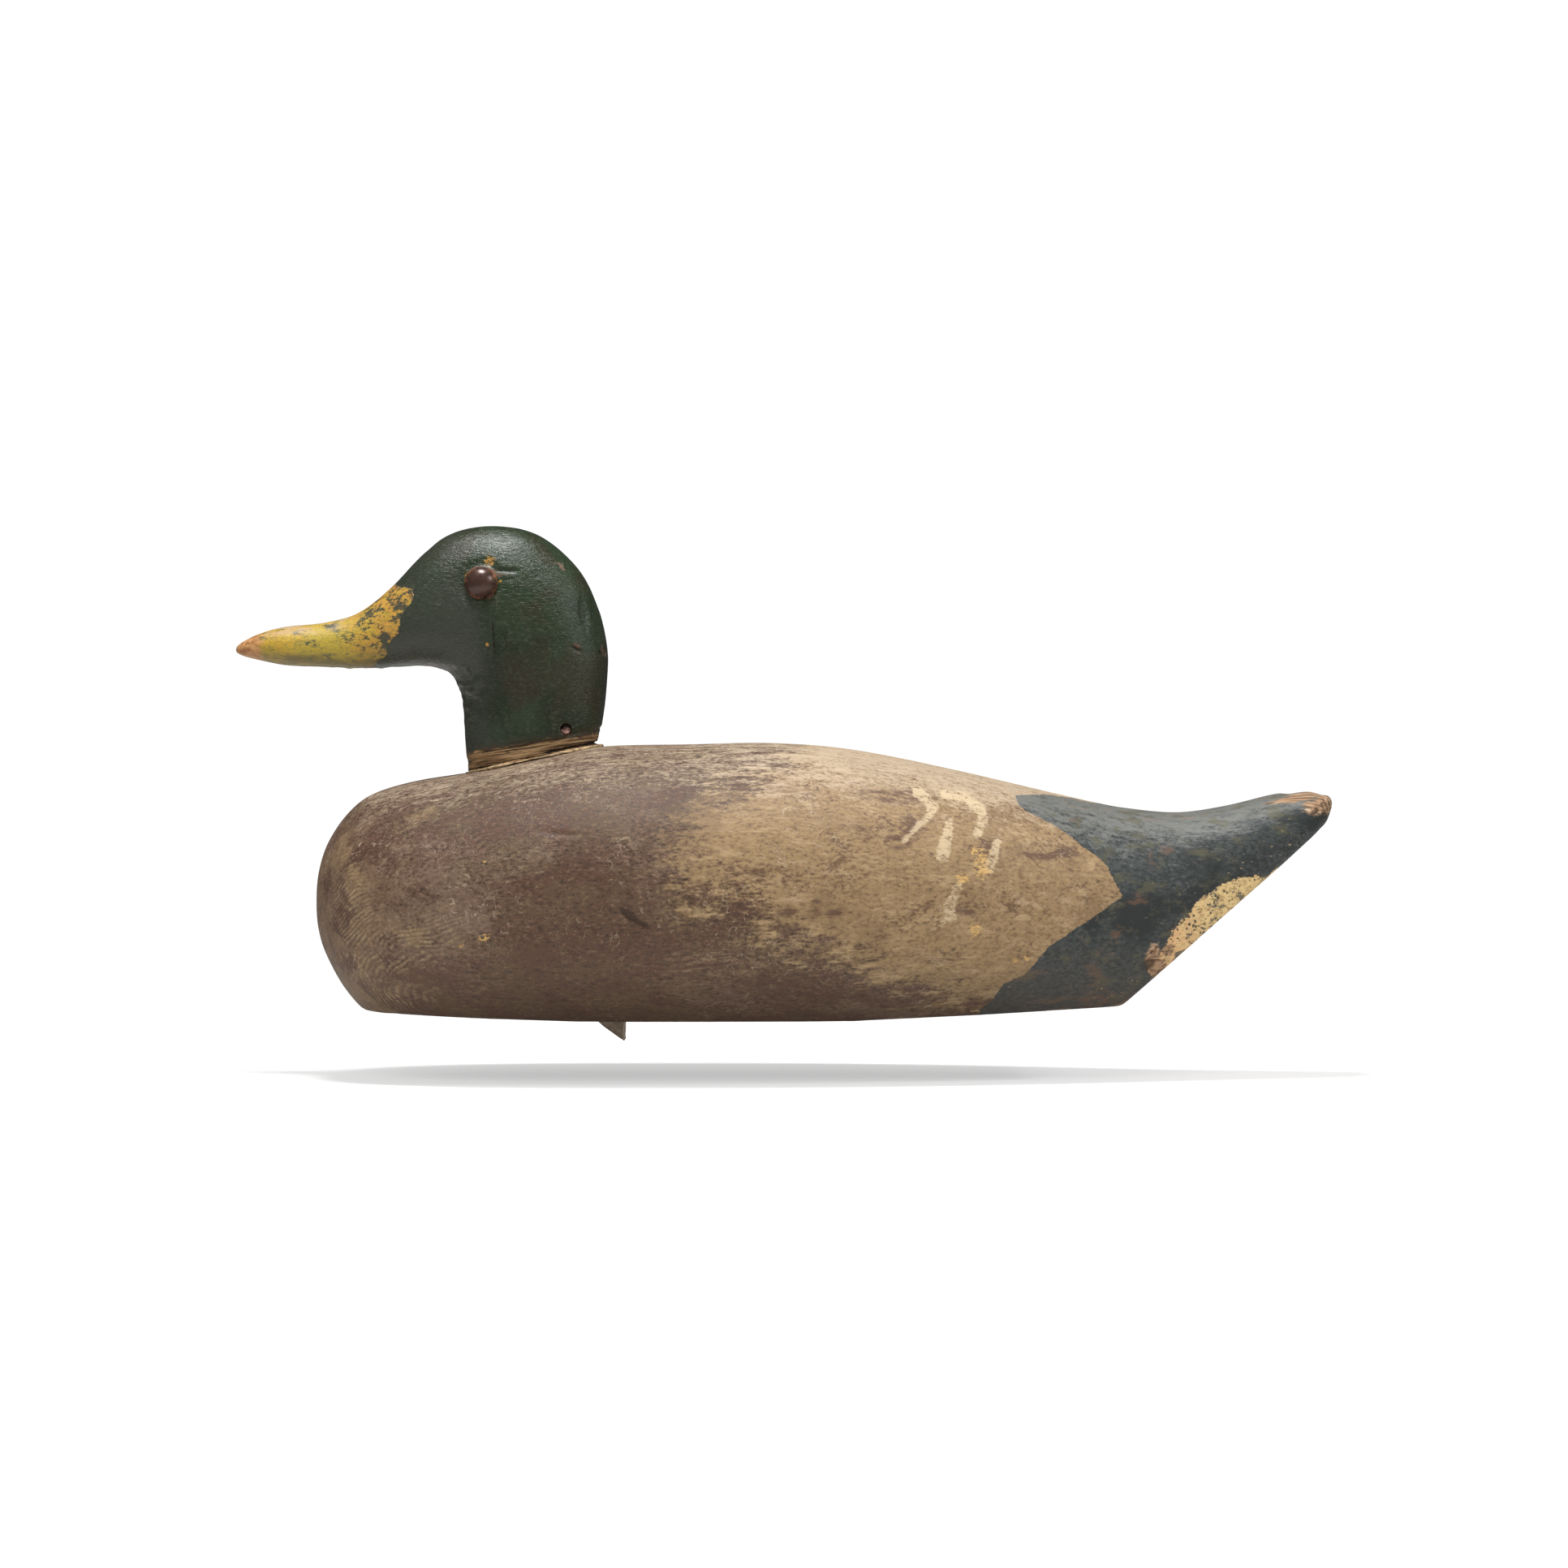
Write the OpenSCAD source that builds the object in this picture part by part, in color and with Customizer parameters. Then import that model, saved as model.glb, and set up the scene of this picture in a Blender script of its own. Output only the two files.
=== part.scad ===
// Floating mallard decoy: a solid carved body with a separate head on a dowel,
// tack eyes, a lead ballast let into the bottom and a leather tie for the anchor line.
// -X is the bill end, +X the tail, +Z up, and -Y the decoy's left side.
// The origin is the middle of the flat that the decoy stands on.

/* [Body] */
// Greatest width of the body
beam = 148; // [140:1:156]
// Squareness of the body's cross-section, where 2 is an ellipse
body_square = 2.35; // [2.1:0.05:2.6]
// Length of the flat that the decoy stands on
flat_len = 100; // [80:2:110]
// Upward slope of the bottom ahead of the flat, in degrees
fore_rise = 2; // [0.5:0.25:3]
// Upward slope of the bottom behind the flat, in degrees
aft_rise = 2.8; // [1:0.1:3.4]
// Slope of the cut under the tail, in degrees
tail_rise = 41; // [40:0.5:43]

/* [Head] */
// Greatest thickness of the head, cheek to cheek
head_w = 46; // [42:1:50]
// Squareness of the head's cross-section, where 2 is an ellipse
head_square = 2.4; // [2.1:0.05:2.6]

/* [Neck joint] */
// Slope of the flat that the neck stands on, in degrees
seat_slope = 11.8; // [11:0.1:12.6]
// Diameter of the hardwood dowel
dowel_d = 16; // [12:1:18]
// Length of the dowel
dowel_len = 58; // [50:1:62]
// Width of the bead of filler round the neck
bead_w = 1.2; // [0.8:0.1:2]

/* [Nails and tacks] */
// Shank diameter of the two nails through the neck
neck_nail_d = 2.2; // [1.6:0.1:2.8]
// Length of the nails through the neck
neck_nail_len = 26; // [22:1:27]
// Head diameter of the dome tacks that make the eyes
eye_d = 12.8; // [11:0.1:13.4]
// Height of the dome of the eye tacks
eye_h = 4.8; // [3.5:0.1:5.4]

/* [Ballast] */
// Length of the lead slab
ballast_len = 50; // [40:1:60]
// Width of the lead slab
ballast_w = 26; // [20:1:30]
// Depth of the pocket that holds the lead
ballast_depth = 10; // [8:0.5:14]

/* [Line tie] */
// Width of the leather strap
strap_w = 11.4; // [9:0.2:12]
// Thickness of one ply of the leather
strap_t = 1.5; // [1.2:0.1:1.6]
// Width of the eye in the loop that takes the anchor line
eye_gap = 4.8; // [4.4:0.1:5]

/* [Hidden] */

$fn = 48;
slip = 0.05;        // radial room between a shank and its hole
over = 1;           // how far a cutter runs past the face that it opens
drill_over = 0.5;   // how much deeper a hole is than what is driven into it
left = -1;          // the sign of Y on the decoy's left side
right = 1;
far = 400;          // larger than the whole decoy

// Lines of the body: station x, height of the back, height of the keel line, share of the half beam.
// The keel line runs under the sawn bottom amidships, so that the sides turn in to a firm edge.
body_lines = [
    [-152.4, 45.0, 41.5, 0.03],
    [-151.4, 55.5, 32.6, 0.20],
    [-148.0, 66.5, 22.6, 0.36],
    [-140.5, 77.7, 9.6, 0.54],
    [-131.0, 85.3, 0.5, 0.67],
    [-115.0, 90.2, -5.5, 0.81],
    [-94.0, 93.6, -8.0, 0.92],
    [-70.0, 98.7, -8.0, 0.985],
    [-44.0, 103.4, -8.0, 1.0],
    [-10.0, 104.2, -8.0, 1.0],
    [22.0, 104.7, -8.0, 0.985],
    [52.0, 102.2, -8.0, 0.93],
    [89.0, 94.9, -8.0, 0.82],
    [120.0, 87.7, -8.0, 0.69],
    [145.0, 82.0, -6.0, 0.57],
    [157.5, 79.8, -2.0, 0.51],
    [176.0, 78.3, 12.0, 0.43],
    [194.5, 80.8, 28.0, 0.36],
    [213.0, 85.2, 46.5, 0.30],
    [225.4, 86.7, 62.0, 0.245],
    [232.0, 85.6, 72.8, 0.17],
    [235.0, 83.4, 79.6, 0.05]
];

// Lines of the neck, head and bill, as sections that fan round the throat:
// the outer point's x and z, the inner point's x and z, and the share of the half thickness.
head_lines = [
    [-44.2, 92.0, -95.0, 80.0, 0.915],
    [-44.2, 106.0, -95.0, 95.0, 0.915],
    [-43.0, 115.0, -95.3, 108.0, 0.92],
    [-41.6, 128.0, -95.9, 118.8, 0.94],
    [-41.5, 140.0, -97.8, 125.5, 0.975],
    [-45.0, 156.0, -101.5, 130.2, 1.0],
    [-52.9, 171.3, -107.0, 133.0, 1.0],
    [-67.5, 183.7, -113.0, 133.6, 0.97],
    [-84.5, 187.5, -119.0, 133.4, 0.90],
    [-100.0, 185.0, -124.5, 132.9, 0.80],
    [-112.4, 176.3, -129.5, 132.4, 0.70],
    [-124.2, 163.9, -135.5, 132.3, 0.61],
    [-136.0, 154.6, -142.5, 132.6, 0.55],
    [-149.0, 150.6, -152.0, 133.3, 0.53],
    [-163.9, 149.0, -164.5, 134.0, 0.52],
    [-174.0, 146.4, -174.0, 135.8, 0.43],
    [-180.5, 143.3, -180.2, 137.4, 0.27],
    [-183.4, 141.2, -183.5, 138.9, 0.08]
];

tail_cut_x = 147.2;                 // where the cut under the tail would meet the flat

// The neck's foot, a straight-sided oval on the sloping seat.
neck_rear = head_lines[0][0];
neck_front = head_lines[0][2];
neck_mid = (neck_rear + neck_front) / 2;
neck_half_len = (neck_rear - neck_front) / 2;
neck_half_w = head_lines[0][4] * head_w / 2;
seat_mid_z = 98.0;
seat_reach = 20;                    // half the height of the ovals that are cut at the seat
bead_rise = 0.8;
bead_lift = 0.02;                   // keeps the filler just off the seat

dowel_up = 25;                      // the dowel's length inside the neck
dowel_glue = 1.5;                   // glue room past each end of the dowel

neck_nail_x = -56.7;
neck_nail_z = 109.4;
neck_nail_y = 17.4;                 // the middle of the nail's head, below the neck's surface
neck_nail_tilt = 53;                // from level towards straight down
neck_nail_head_d = 3.6;
neck_nail_head_t = 0.9;
neck_nail_sink = 7;                 // how far the punched hole runs out past the nail's head
punch_room = 0.4;                   // radial room round the nail's head in its punched hole

eye_x = -88.6;
eye_z = 164.8;
eye_seat_y = 20.9;                  // the small flat cut for the tack's rim
eye_seat_room = 0.2;                // radial room round the tack's rim
eye_seat_cut = 10;                  // how far out the cutter of that flat runs
eye_wall = 0.6;
eye_shank_d = 1.8;
eye_shank_len = 17;
eye_shank_gap = 0.1;                // between the shank and the inside of the dome
dome_r = (pow(eye_d / 2, 2) + pow(eye_h, 2)) / (2 * eye_h);
eye_shank_top = eye_seat_y + eye_h - eye_wall - eye_shank_gap;

ballast_x = 2;
ballast_inset = 0.3;                // the lead lies this far above the bottom
ballast_room = 0.1;                 // between the lead and the sides of its pocket
ballast_nail_d = 2.8;
ballast_nail_head_d = 6.4;
ballast_nail_head_t = 1.2;
ballast_nail_len = 30;
ballast_nail_gap = 28;              // between the two nails

strap_x = -40.3;                    // middle of the strap's width
mortise_depth = 7;
mortise_w = strap_w + 2.6;          // the strap has 1.3 of room at each edge
mortise_right = 31;
recess_depth = 10.2;                // the deeper end, where the loop can fold away
recess_left = -18.5;
recess_right = -2;
tails_end = 29;
upper_ply_start = 2.4;
lower_ply_start = 4.4;
hinge_z = 5.2;                      // where the leather bends
eye_r = eye_gap / 2;
loop_len = 14.8;                    // from the bend to the bottom of the loop
loop_lean = 7;                      // the loop hangs a little towards the left side
loop_eye_low = strap_t + eye_r - loop_len;
eye_straight = 2.4;                 // the upright run between the round ends of the eye
loop_eye_high = loop_eye_low + eye_straight;
tack_d = 2;
tack_head_d = 7;
tack_head_t = 0.9;
tack_len = 14;
tack_inner_y = 12;
tack_outer_y = 22;

body_sides = 40;
body_steps = 2;
head_sides = 36;
head_steps = 3;

// ---- curves and lofts -------------------------------------------------------------------

function signed_power(v, p) = sign(v) * pow(abs(v), p);

// A closed superellipse of k points about the middle c: u is its half axis in the XZ plane, w its half width.
function section(c, u, w, square, k) = [
    for (i = [0 : k - 1])
        let (a = 360 * i / k, cu = signed_power(cos(a), 2 / square), cw = signed_power(sin(a), 2 / square))
            [c[0] + u[0] * cu, w * cw, c[1] + u[1] * cu]
];

// A point on the smooth curve through rows of numbers, between p1 and p2.
function between(p0, p1, p2, p3, t) =
    0.5 * (2 * p1 + (p2 - p0) * t + (2 * p0 - 5 * p1 + 4 * p2 - p3) * t * t
        + (3 * p1 - p0 - 3 * p2 + p3) * t * t * t);

function faired(rows, steps) = [
    for (i = [0 : len(rows) - 2], s = [0 : steps - 1])
        between(rows[max(i - 1, 0)], rows[i], rows[i + 1], rows[min(i + 2, len(rows) - 1)], s / steps),
    rows[len(rows) - 1]
];

// The closed skin over a row of sections that all have the same number of points.
module skin(rings) {
    n = len(rings);
    k = len(rings[0]);
    sides = [
        for (r = [0 : n - 2], i = [0 : k - 1])
            let (j = (i + 1) % k)
                each [
                    [r * k + i, (r + 1) * k + i, (r + 1) * k + j],
                    [r * k + i, (r + 1) * k + j, r * k + j]
                ]
    ];
    first = [[for (i = [0 : k - 1]) i]];
    last = [[for (i = [k - 1 : -1 : 0]) (n - 1) * k + i]];
    polyhedron(points = [for (ring = rings) each ring], faces = concat(sides, first, last));
}

// ---- shapes that cut the wood -----------------------------------------------------------

// Everything below a plane through (x, 0, z) that rises towards +X by the given angle.
module below(x, z, rise) {
    translate([x, 0, z])
        rotate([0, -rise, 0])
            translate([-far, -far, -2 * far])
                cube(2 * far);
}

module on_seat() {
    translate([neck_mid, 0, seat_mid_z])
        rotate([0, -seat_slope, 0])
            children();
}

// The neck's oval as an upright prism through the seat, larger all round by grow.
module neck_oval(grow, reach) {
    half_len = [neck_half_len + grow, 0];
    ring = section([neck_mid, 0], half_len, neck_half_w + grow, head_square, head_sides);
    outline = [for (p = ring) [p[0], p[1]]];
    translate([0, 0, seat_mid_z - reach])
        linear_extrude(height = 2 * reach)
            polygon(outline);
}

// A place and direction on one side of the neck, with +Z along the nail.
module at_neck_nail(side) {
    translate([neck_nail_x, side * neck_nail_y, neck_nail_z])
        rotate([side * (90 + neck_nail_tilt), 0, 0])
            children();
}

// A place on one side of the head, with +Z pointing out of the eye.
module at_eye(side) {
    translate([eye_x, 0, eye_z])
        rotate([-side * 90, 0, 0])
            children();
}

module ballast_outline(grow, low, high) {
    w = ballast_w + 2 * grow;
    run = ballast_len - ballast_w;
    translate([ballast_x - run / 2, -w / 2, low])
        cube([run, w, high - low]);
    for (end = [-1, 1])
        translate([ballast_x + end * run / 2, 0, low])
            cylinder(d = w, h = high - low);
}

module at_tack(y) {
    translate([strap_x, y, mortise_depth - 2 * strap_t])
        children();
}

// ---- the pieces -------------------------------------------------------------------------

// The solid carved block, sawn flat below and bored for everything that is driven into it.
module body() {
    color([0.36, 0.28, 0.24])
        difference() {
            skin([
                for (s = faired(body_lines, body_steps))
                    section([s[0], (s[1] + s[2]) / 2], [0, (s[1] - s[2]) / 2],
                        s[3] * beam / 2, body_square, body_sides)
            ]);
            below(0, 0, 0);
            below(-flat_len / 2, 0, -fore_rise);
            below(flat_len / 2, 0, aft_rise);
            below(tail_cut_x, 0, tail_rise);
            neck_seat();
            on_seat()
                translate([0, 0, dowel_up - dowel_len - dowel_glue])
                    cylinder(d = dowel_d + 2 * slip, h = dowel_len);
            for (side = [left, right])
                at_neck_nail(side)
                    cylinder(d = neck_nail_d + 2 * slip, h = neck_nail_len + drill_over);
            ballast_outline(ballast_room, -over, ballast_depth);
            for (end = [-1, 1])
                translate([ballast_x + end * ballast_nail_gap / 2, 0, 0])
                    cylinder(
                        d = ballast_nail_d + 2 * slip,
                        h = ballast_inset + ballast_nail_len + drill_over
                    );
            translate([strap_x - mortise_w / 2, recess_left, -over]) {
                cube([mortise_w, mortise_right - recess_left, mortise_depth + over]);
                cube([mortise_w, recess_right - recess_left, recess_depth + over]);
            }
            for (y = [tack_inner_y, tack_outer_y])
                at_tack(y)
                    cylinder(d = tack_d + 2 * slip, h = tack_len + drill_over);
        }
}

// The shallow flat that the neck stands on.
module neck_seat() {
    difference() {
        neck_oval(bead_w, seat_reach);
        below(neck_mid, seat_mid_z, seat_slope);
    }
}

// Neck, head and bill, carved in one.
module head() {
    color([0.13, 0.24, 0.18])
        difference() {
            skin([
                for (s = faired(head_lines, head_steps))
                    section([(s[0] + s[2]) / 2, (s[1] + s[3]) / 2], [(s[0] - s[2]) / 2, (s[1] - s[3]) / 2],
                        s[4] * head_w / 2, head_square, head_sides)
            ]);
            below(neck_mid, seat_mid_z, seat_slope);
            on_seat()
                translate([0, 0, -over])
                    cylinder(d = dowel_d + 2 * slip, h = dowel_up + dowel_glue + over);
            for (side = [left, right]) {
                at_neck_nail(side) {
                    cylinder(d = neck_nail_d + 2 * slip, h = neck_nail_len);
                    translate([0, 0, -neck_nail_sink])
                        cylinder(
                            d = neck_nail_head_d + 2 * punch_room,
                            h = neck_nail_sink + neck_nail_head_t
                        );
                }
                at_eye(side) {
                    translate([0, 0, eye_seat_y])
                        cylinder(d = eye_d + 2 * eye_seat_room, h = eye_seat_cut);
                    translate([0, 0, eye_shank_top - eye_shank_len - drill_over])
                        cylinder(d = eye_shank_d + 2 * slip, h = eye_shank_len);
                }
            }
        }
}

module neck_dowel() {
    color([0.72, 0.55, 0.36])
        on_seat()
            translate([0, 0, dowel_up - dowel_len])
                cylinder(d = dowel_d, h = dowel_len);
}

// The bead of filler that closes the joint between the neck and the rounded back.
module neck_filler() {
    color([0.74, 0.62, 0.40])
        difference() {
            neck_oval(bead_w - slip, seat_reach);
            neck_oval(slip, seat_reach + over);
            below(neck_mid, seat_mid_z + bead_lift, seat_slope);
            mirror([0, 0, 1])
                below(neck_mid, -seat_mid_z - bead_rise, -seat_slope);
        }
}

// A nail driven slantwise through the foot of the neck into the body.
module neck_nail(side) {
    color([0.42, 0.28, 0.23])
        at_neck_nail(side) {
            cylinder(d = neck_nail_head_d, h = neck_nail_head_t);
            cylinder(d = neck_nail_d, h = neck_nail_len);
        }
}

// The hollow dome of an upholstery tack.
module eye_cap(side) {
    color([0.30, 0.20, 0.17])
        at_eye(side)
            translate([0, 0, eye_seat_y])
                rotate_extrude()
                    intersection() {
                        difference() {
                            translate([0, eye_h - dome_r]) circle(r = dome_r, $fn = 96);
                            translate([0, eye_h - dome_r]) circle(r = dome_r - eye_wall, $fn = 96);
                        }
                        square([eye_d, eye_d]);
                    }
}

module eye_shank(side) {
    color([0.35, 0.27, 0.22])
        at_eye(side)
            translate([0, 0, eye_shank_top - eye_shank_len])
                cylinder(d = eye_shank_d, h = eye_shank_len);
}

// Lead let into the bottom, with a hole and a sinking for each nail.
module ballast_weight() {
    color([0.42, 0.43, 0.45])
        difference() {
            ballast_outline(0, ballast_inset, ballast_depth);
            for (end = [-1, 1])
                translate([ballast_x + end * ballast_nail_gap / 2, 0, 0]) {
                    cylinder(d = ballast_nail_d + 2 * slip, h = ballast_depth + over);
                    cylinder(d = ballast_nail_head_d + 2 * slip, h = ballast_inset + ballast_nail_head_t);
                }
        }
}

module ballast_nail(end) {
    color([0.38, 0.30, 0.26])
        translate([ballast_x + end * ballast_nail_gap / 2, 0, ballast_inset]) {
            cylinder(d = ballast_nail_head_d, h = ballast_nail_head_t);
            cylinder(d = ballast_nail_d, h = ballast_nail_len);
        }
}

// The two stacked ends of the leather strap, tacked down in the mortise.
module line_tie_tails() {
    color([0.40, 0.33, 0.26])
        difference() {
            union() {
                translate([strap_x - strap_w / 2, upper_ply_start, mortise_depth - strap_t])
                    cube([strap_w, tails_end - upper_ply_start, strap_t]);
                translate([strap_x - strap_w / 2, lower_ply_start, mortise_depth - 2 * strap_t])
                    cube([strap_w, tails_end - lower_ply_start, strap_t]);
            }
            for (y = [tack_inner_y, tack_outer_y])
                at_tack(y)
                    translate([0, 0, -over])
                        cylinder(d = tack_d + 2 * slip, h = 2 * (strap_t + over));
        }
}

// The hanging loop: both plies below the bend, opened out to an eye for the anchor line.
module line_tie_loop() {
    color([0.44, 0.37, 0.29])
        translate([strap_x - strap_w / 2, 0, hinge_z])
            rotate([-loop_lean, 0, 0])
                rotate([90, 0, 90])
                    linear_extrude(height = strap_w)
                        difference() {
                            union() {
                                loop_shape(eye_r + strap_t);
                                circle(r = strap_t);
                                translate([-strap_t, loop_eye_high]) square([2 * strap_t, -loop_eye_high]);
                            }
                            loop_shape(eye_r);
                        }
}

module loop_shape(r) {
    translate([0, loop_eye_low]) circle(r = r);
    translate([0, loop_eye_high]) circle(r = r);
    translate([-r, loop_eye_low]) square([2 * r, loop_eye_high - loop_eye_low]);
}

module line_tie_tack(y) {
    color([0.40, 0.33, 0.28])
        at_tack(y) {
            translate([0, 0, -tack_head_t])
                cylinder(d = tack_head_d, h = tack_head_t);
            cylinder(d = tack_d, h = tack_len);
        }
}

body();
head();
neck_dowel();
neck_filler();
neck_nail(left);  // neck_nail_left
neck_nail(right);  // neck_nail_right
eye_cap(left);  // eye_cap_left
eye_cap(right);  // eye_cap_right
eye_shank(left);  // eye_shank_left
eye_shank(right);  // eye_shank_right
ballast_weight();
ballast_nail(-1);  // ballast_nail_front
ballast_nail(1);  // ballast_nail_rear
line_tie_tails();
line_tie_loop();
line_tie_tack(tack_inner_y);  // line_tie_tack_inner
line_tie_tack(tack_outer_y);  // line_tie_tack_outer
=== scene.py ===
"""The carved, painted and weathered look of a wooden duck decoy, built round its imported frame.

Sizes in the dataclasses are millimetres, in the frame's own axes: -X towards the bill, +Z up and -Y the
decoy's left side. Meshes are written in metres.
"""
import logging
import math
from dataclasses import dataclass, field
from enum import Enum
from itertools import product

import bpy
import numpy as np
from mathutils import Matrix, Vector


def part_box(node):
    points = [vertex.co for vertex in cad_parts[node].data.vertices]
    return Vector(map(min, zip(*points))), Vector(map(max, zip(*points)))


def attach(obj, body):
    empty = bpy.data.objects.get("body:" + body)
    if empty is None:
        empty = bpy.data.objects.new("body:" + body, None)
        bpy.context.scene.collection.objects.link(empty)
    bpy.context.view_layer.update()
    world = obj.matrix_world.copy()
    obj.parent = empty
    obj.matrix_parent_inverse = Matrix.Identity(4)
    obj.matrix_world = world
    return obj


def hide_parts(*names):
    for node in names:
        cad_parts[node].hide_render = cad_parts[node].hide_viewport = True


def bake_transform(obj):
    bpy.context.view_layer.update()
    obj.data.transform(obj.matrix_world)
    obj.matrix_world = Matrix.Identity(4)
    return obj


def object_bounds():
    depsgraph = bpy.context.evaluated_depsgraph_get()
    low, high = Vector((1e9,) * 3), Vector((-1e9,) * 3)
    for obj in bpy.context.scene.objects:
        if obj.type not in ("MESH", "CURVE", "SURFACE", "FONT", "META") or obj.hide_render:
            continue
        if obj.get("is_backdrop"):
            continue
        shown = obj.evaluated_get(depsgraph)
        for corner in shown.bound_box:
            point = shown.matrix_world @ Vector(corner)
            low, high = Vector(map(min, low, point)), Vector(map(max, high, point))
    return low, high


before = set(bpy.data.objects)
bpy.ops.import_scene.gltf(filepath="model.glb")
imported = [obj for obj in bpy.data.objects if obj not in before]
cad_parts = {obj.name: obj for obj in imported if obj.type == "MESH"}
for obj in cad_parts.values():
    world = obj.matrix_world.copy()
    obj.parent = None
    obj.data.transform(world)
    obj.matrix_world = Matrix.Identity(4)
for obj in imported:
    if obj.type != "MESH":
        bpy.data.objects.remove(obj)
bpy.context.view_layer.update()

log = logging.getLogger("decoy")

MM = 0.001
Point = tuple[float, ...]
Rgb = tuple[float, float, float]
Socket = bpy.types.NodeSocket
Value = Socket | float | Point


class Side(Enum):
    """The two sides of the decoy, by the sign of Y."""

    LEFT = -1
    RIGHT = 1


class Body(Enum):
    """The frame's bodies."""

    DECOY = "decoy"
    LINE_TIE = "line_tie"


# ---- work on meshes ---------------------------------------------------------------------


def only(piece: bpy.types.Object) -> None:
    """Selects one object alone and makes it the active one."""
    bpy.ops.object.select_all(action="DESELECT")
    piece.select_set(True)
    bpy.context.view_layer.objects.active = piece


def fresh(name: str) -> bpy.types.Object:
    """Names the primitive that an operator has just added, and returns it."""
    piece = bpy.context.active_object
    piece.name = name
    piece.data.name = name
    return piece


def points_of(piece: bpy.types.Object) -> np.ndarray:
    """Reads a mesh's points, in millimetres, as an array of rows."""
    flat = np.empty(len(piece.data.vertices) * 3, np.float32)
    piece.data.vertices.foreach_get("co", flat)
    return flat.reshape(-1, 3).astype(float) / MM


def set_points(piece: bpy.types.Object, points: np.ndarray) -> None:
    """Writes a mesh's points, given in millimetres."""
    piece.data.vertices.foreach_set("co", (points * MM).astype(np.float32).ravel())
    piece.data.update()


def normals_of(piece: bpy.types.Object) -> np.ndarray:
    """Reads the unit normal at each of a mesh's points."""
    flat = np.empty(len(piece.data.vertices) * 3, np.float32)
    piece.data.vertex_normals.foreach_get("vector", flat)
    return flat.reshape(-1, 3).astype(float)


def edges_of(piece: bpy.types.Object) -> np.ndarray:
    """Reads the pairs of points that a mesh's edges join."""
    flat = np.empty(len(piece.data.edges) * 2, np.int32)
    piece.data.edges.foreach_get("vertices", flat)
    return flat.reshape(-1, 2)


def relaxed(values: np.ndarray, edges: np.ndarray, turns: int) -> np.ndarray:
    """Averages each point's value with its neighbours'.

    Args:
        values: One row of numbers for each point.
        edges: The pairs of points that are neighbours.
        turns: How many times to average.

    Returns:
        The evened values.
    """
    count = len(values)
    ends = np.concatenate([edges[:, 0], edges[:, 1]])
    others = np.concatenate([edges[:, 1], edges[:, 0]])
    degree = np.maximum(np.bincount(ends, minlength=count), 1)
    for _ in range(turns):
        sums = [np.bincount(ends, column[others], count) for column in values.T]
        values = 0.5 * values + 0.5 * np.stack(sums, 1) / degree[:, None]
    return values


def write_field(piece: bpy.types.Object, name: str, values: np.ndarray) -> None:
    """Stores one number for each point as an attribute that the material can read."""
    layer = piece.data.attributes.new(name, "FLOAT", "POINT")
    layer.data.foreach_set("value", values.astype(np.float32))


def with_modifier(piece: bpy.types.Object, kind: str, **settings: object) -> None:
    """Adds a modifier to a piece and applies it.

    Args:
        piece: The object to change.
        kind: Blender's name of the modifier's type.
        settings: The modifier's own settings.
    """
    only(piece)
    modifier = piece.modifiers.new(kind.title(), kind)
    for key, value in settings.items():
        setattr(modifier, key, value)
    bpy.ops.object.modifier_apply(modifier=modifier.name)


def in_edit_mode(piece: bpy.types.Object) -> None:
    """Opens a piece in edit mode with all of it selected."""
    only(piece)
    bpy.ops.object.mode_set(mode="EDIT")
    bpy.ops.mesh.select_all(action="SELECT")


def close_edit(outwards: bool = True) -> None:
    """Leaves edit mode, with the normals turned outwards first if asked."""
    if outwards:
        bpy.ops.mesh.select_all(action="SELECT")
        bpy.ops.mesh.normals_make_consistent(inside=False)
    bpy.ops.object.mode_set(mode="OBJECT")


def saw(piece: bpy.types.Object, at: Point, outward: Point) -> None:
    """Saws a solid along a plane and drops what lies outward of it.

    Args:
        piece: The solid.
        at: A point on the plane, in millimetres.
        outward: The plane's normal, towards the waste.
    """
    in_edit_mode(piece)
    bpy.ops.mesh.bisect(plane_co=Vector(at) * MM, plane_no=outward, use_fill=True, clear_outer=True)
    close_edit()


def pared(piece: bpy.types.Object, cutter: bpy.types.Object, operation: str = "DIFFERENCE") -> None:
    """Takes a cutter's shape away from a solid, and removes the cutter."""
    with_modifier(piece, "BOOLEAN", object=cutter, operation=operation, solver="EXACT")
    bpy.data.objects.remove(cutter)


def smooth_shaded(piece: bpy.types.Object, angle: float = 40.0) -> None:
    """Shades a piece smooth except across edges sharper than the angle, in degrees."""
    only(piece)
    bpy.ops.object.shade_smooth_by_angle(angle=math.radians(angle))


def ripple(points: np.ndarray, size: float | Point, seed: int) -> np.ndarray:
    """Smooth noise from -1 to 1.

    Args:
        points: Where to read it, in millimetres.
        size: How far apart its bumps are, the same or one for each axis.
        seed: Which noise to read.

    Returns:
        One value for each point.
    """
    scaled = points / np.broadcast_to(np.asarray(size, float), (3,)) + seed * 17.31
    base = np.floor(scaled).astype(np.int64)
    part = scaled - base
    part = part * part * (3 - 2 * part)
    total = np.zeros(len(points))
    for corner in product((0, 1), repeat=3):
        cell = (base + corner) * (73856093, 19349663, 83492791)
        key = cell[:, 0] ^ cell[:, 1] ^ cell[:, 2] ^ (seed * 40503)
        key = ((key ^ (key >> 13)) * 1274126177) & 0x7FFFFFFF
        key = ((key ^ (key >> 16)) * 668265263) & 0x7FFFFFFF
        weight = np.prod(np.where(corner, part, 1 - part), axis=1)
        total += weight * ((key >> 8) % 4096 / 2047.5 - 1)
    return total


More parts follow.
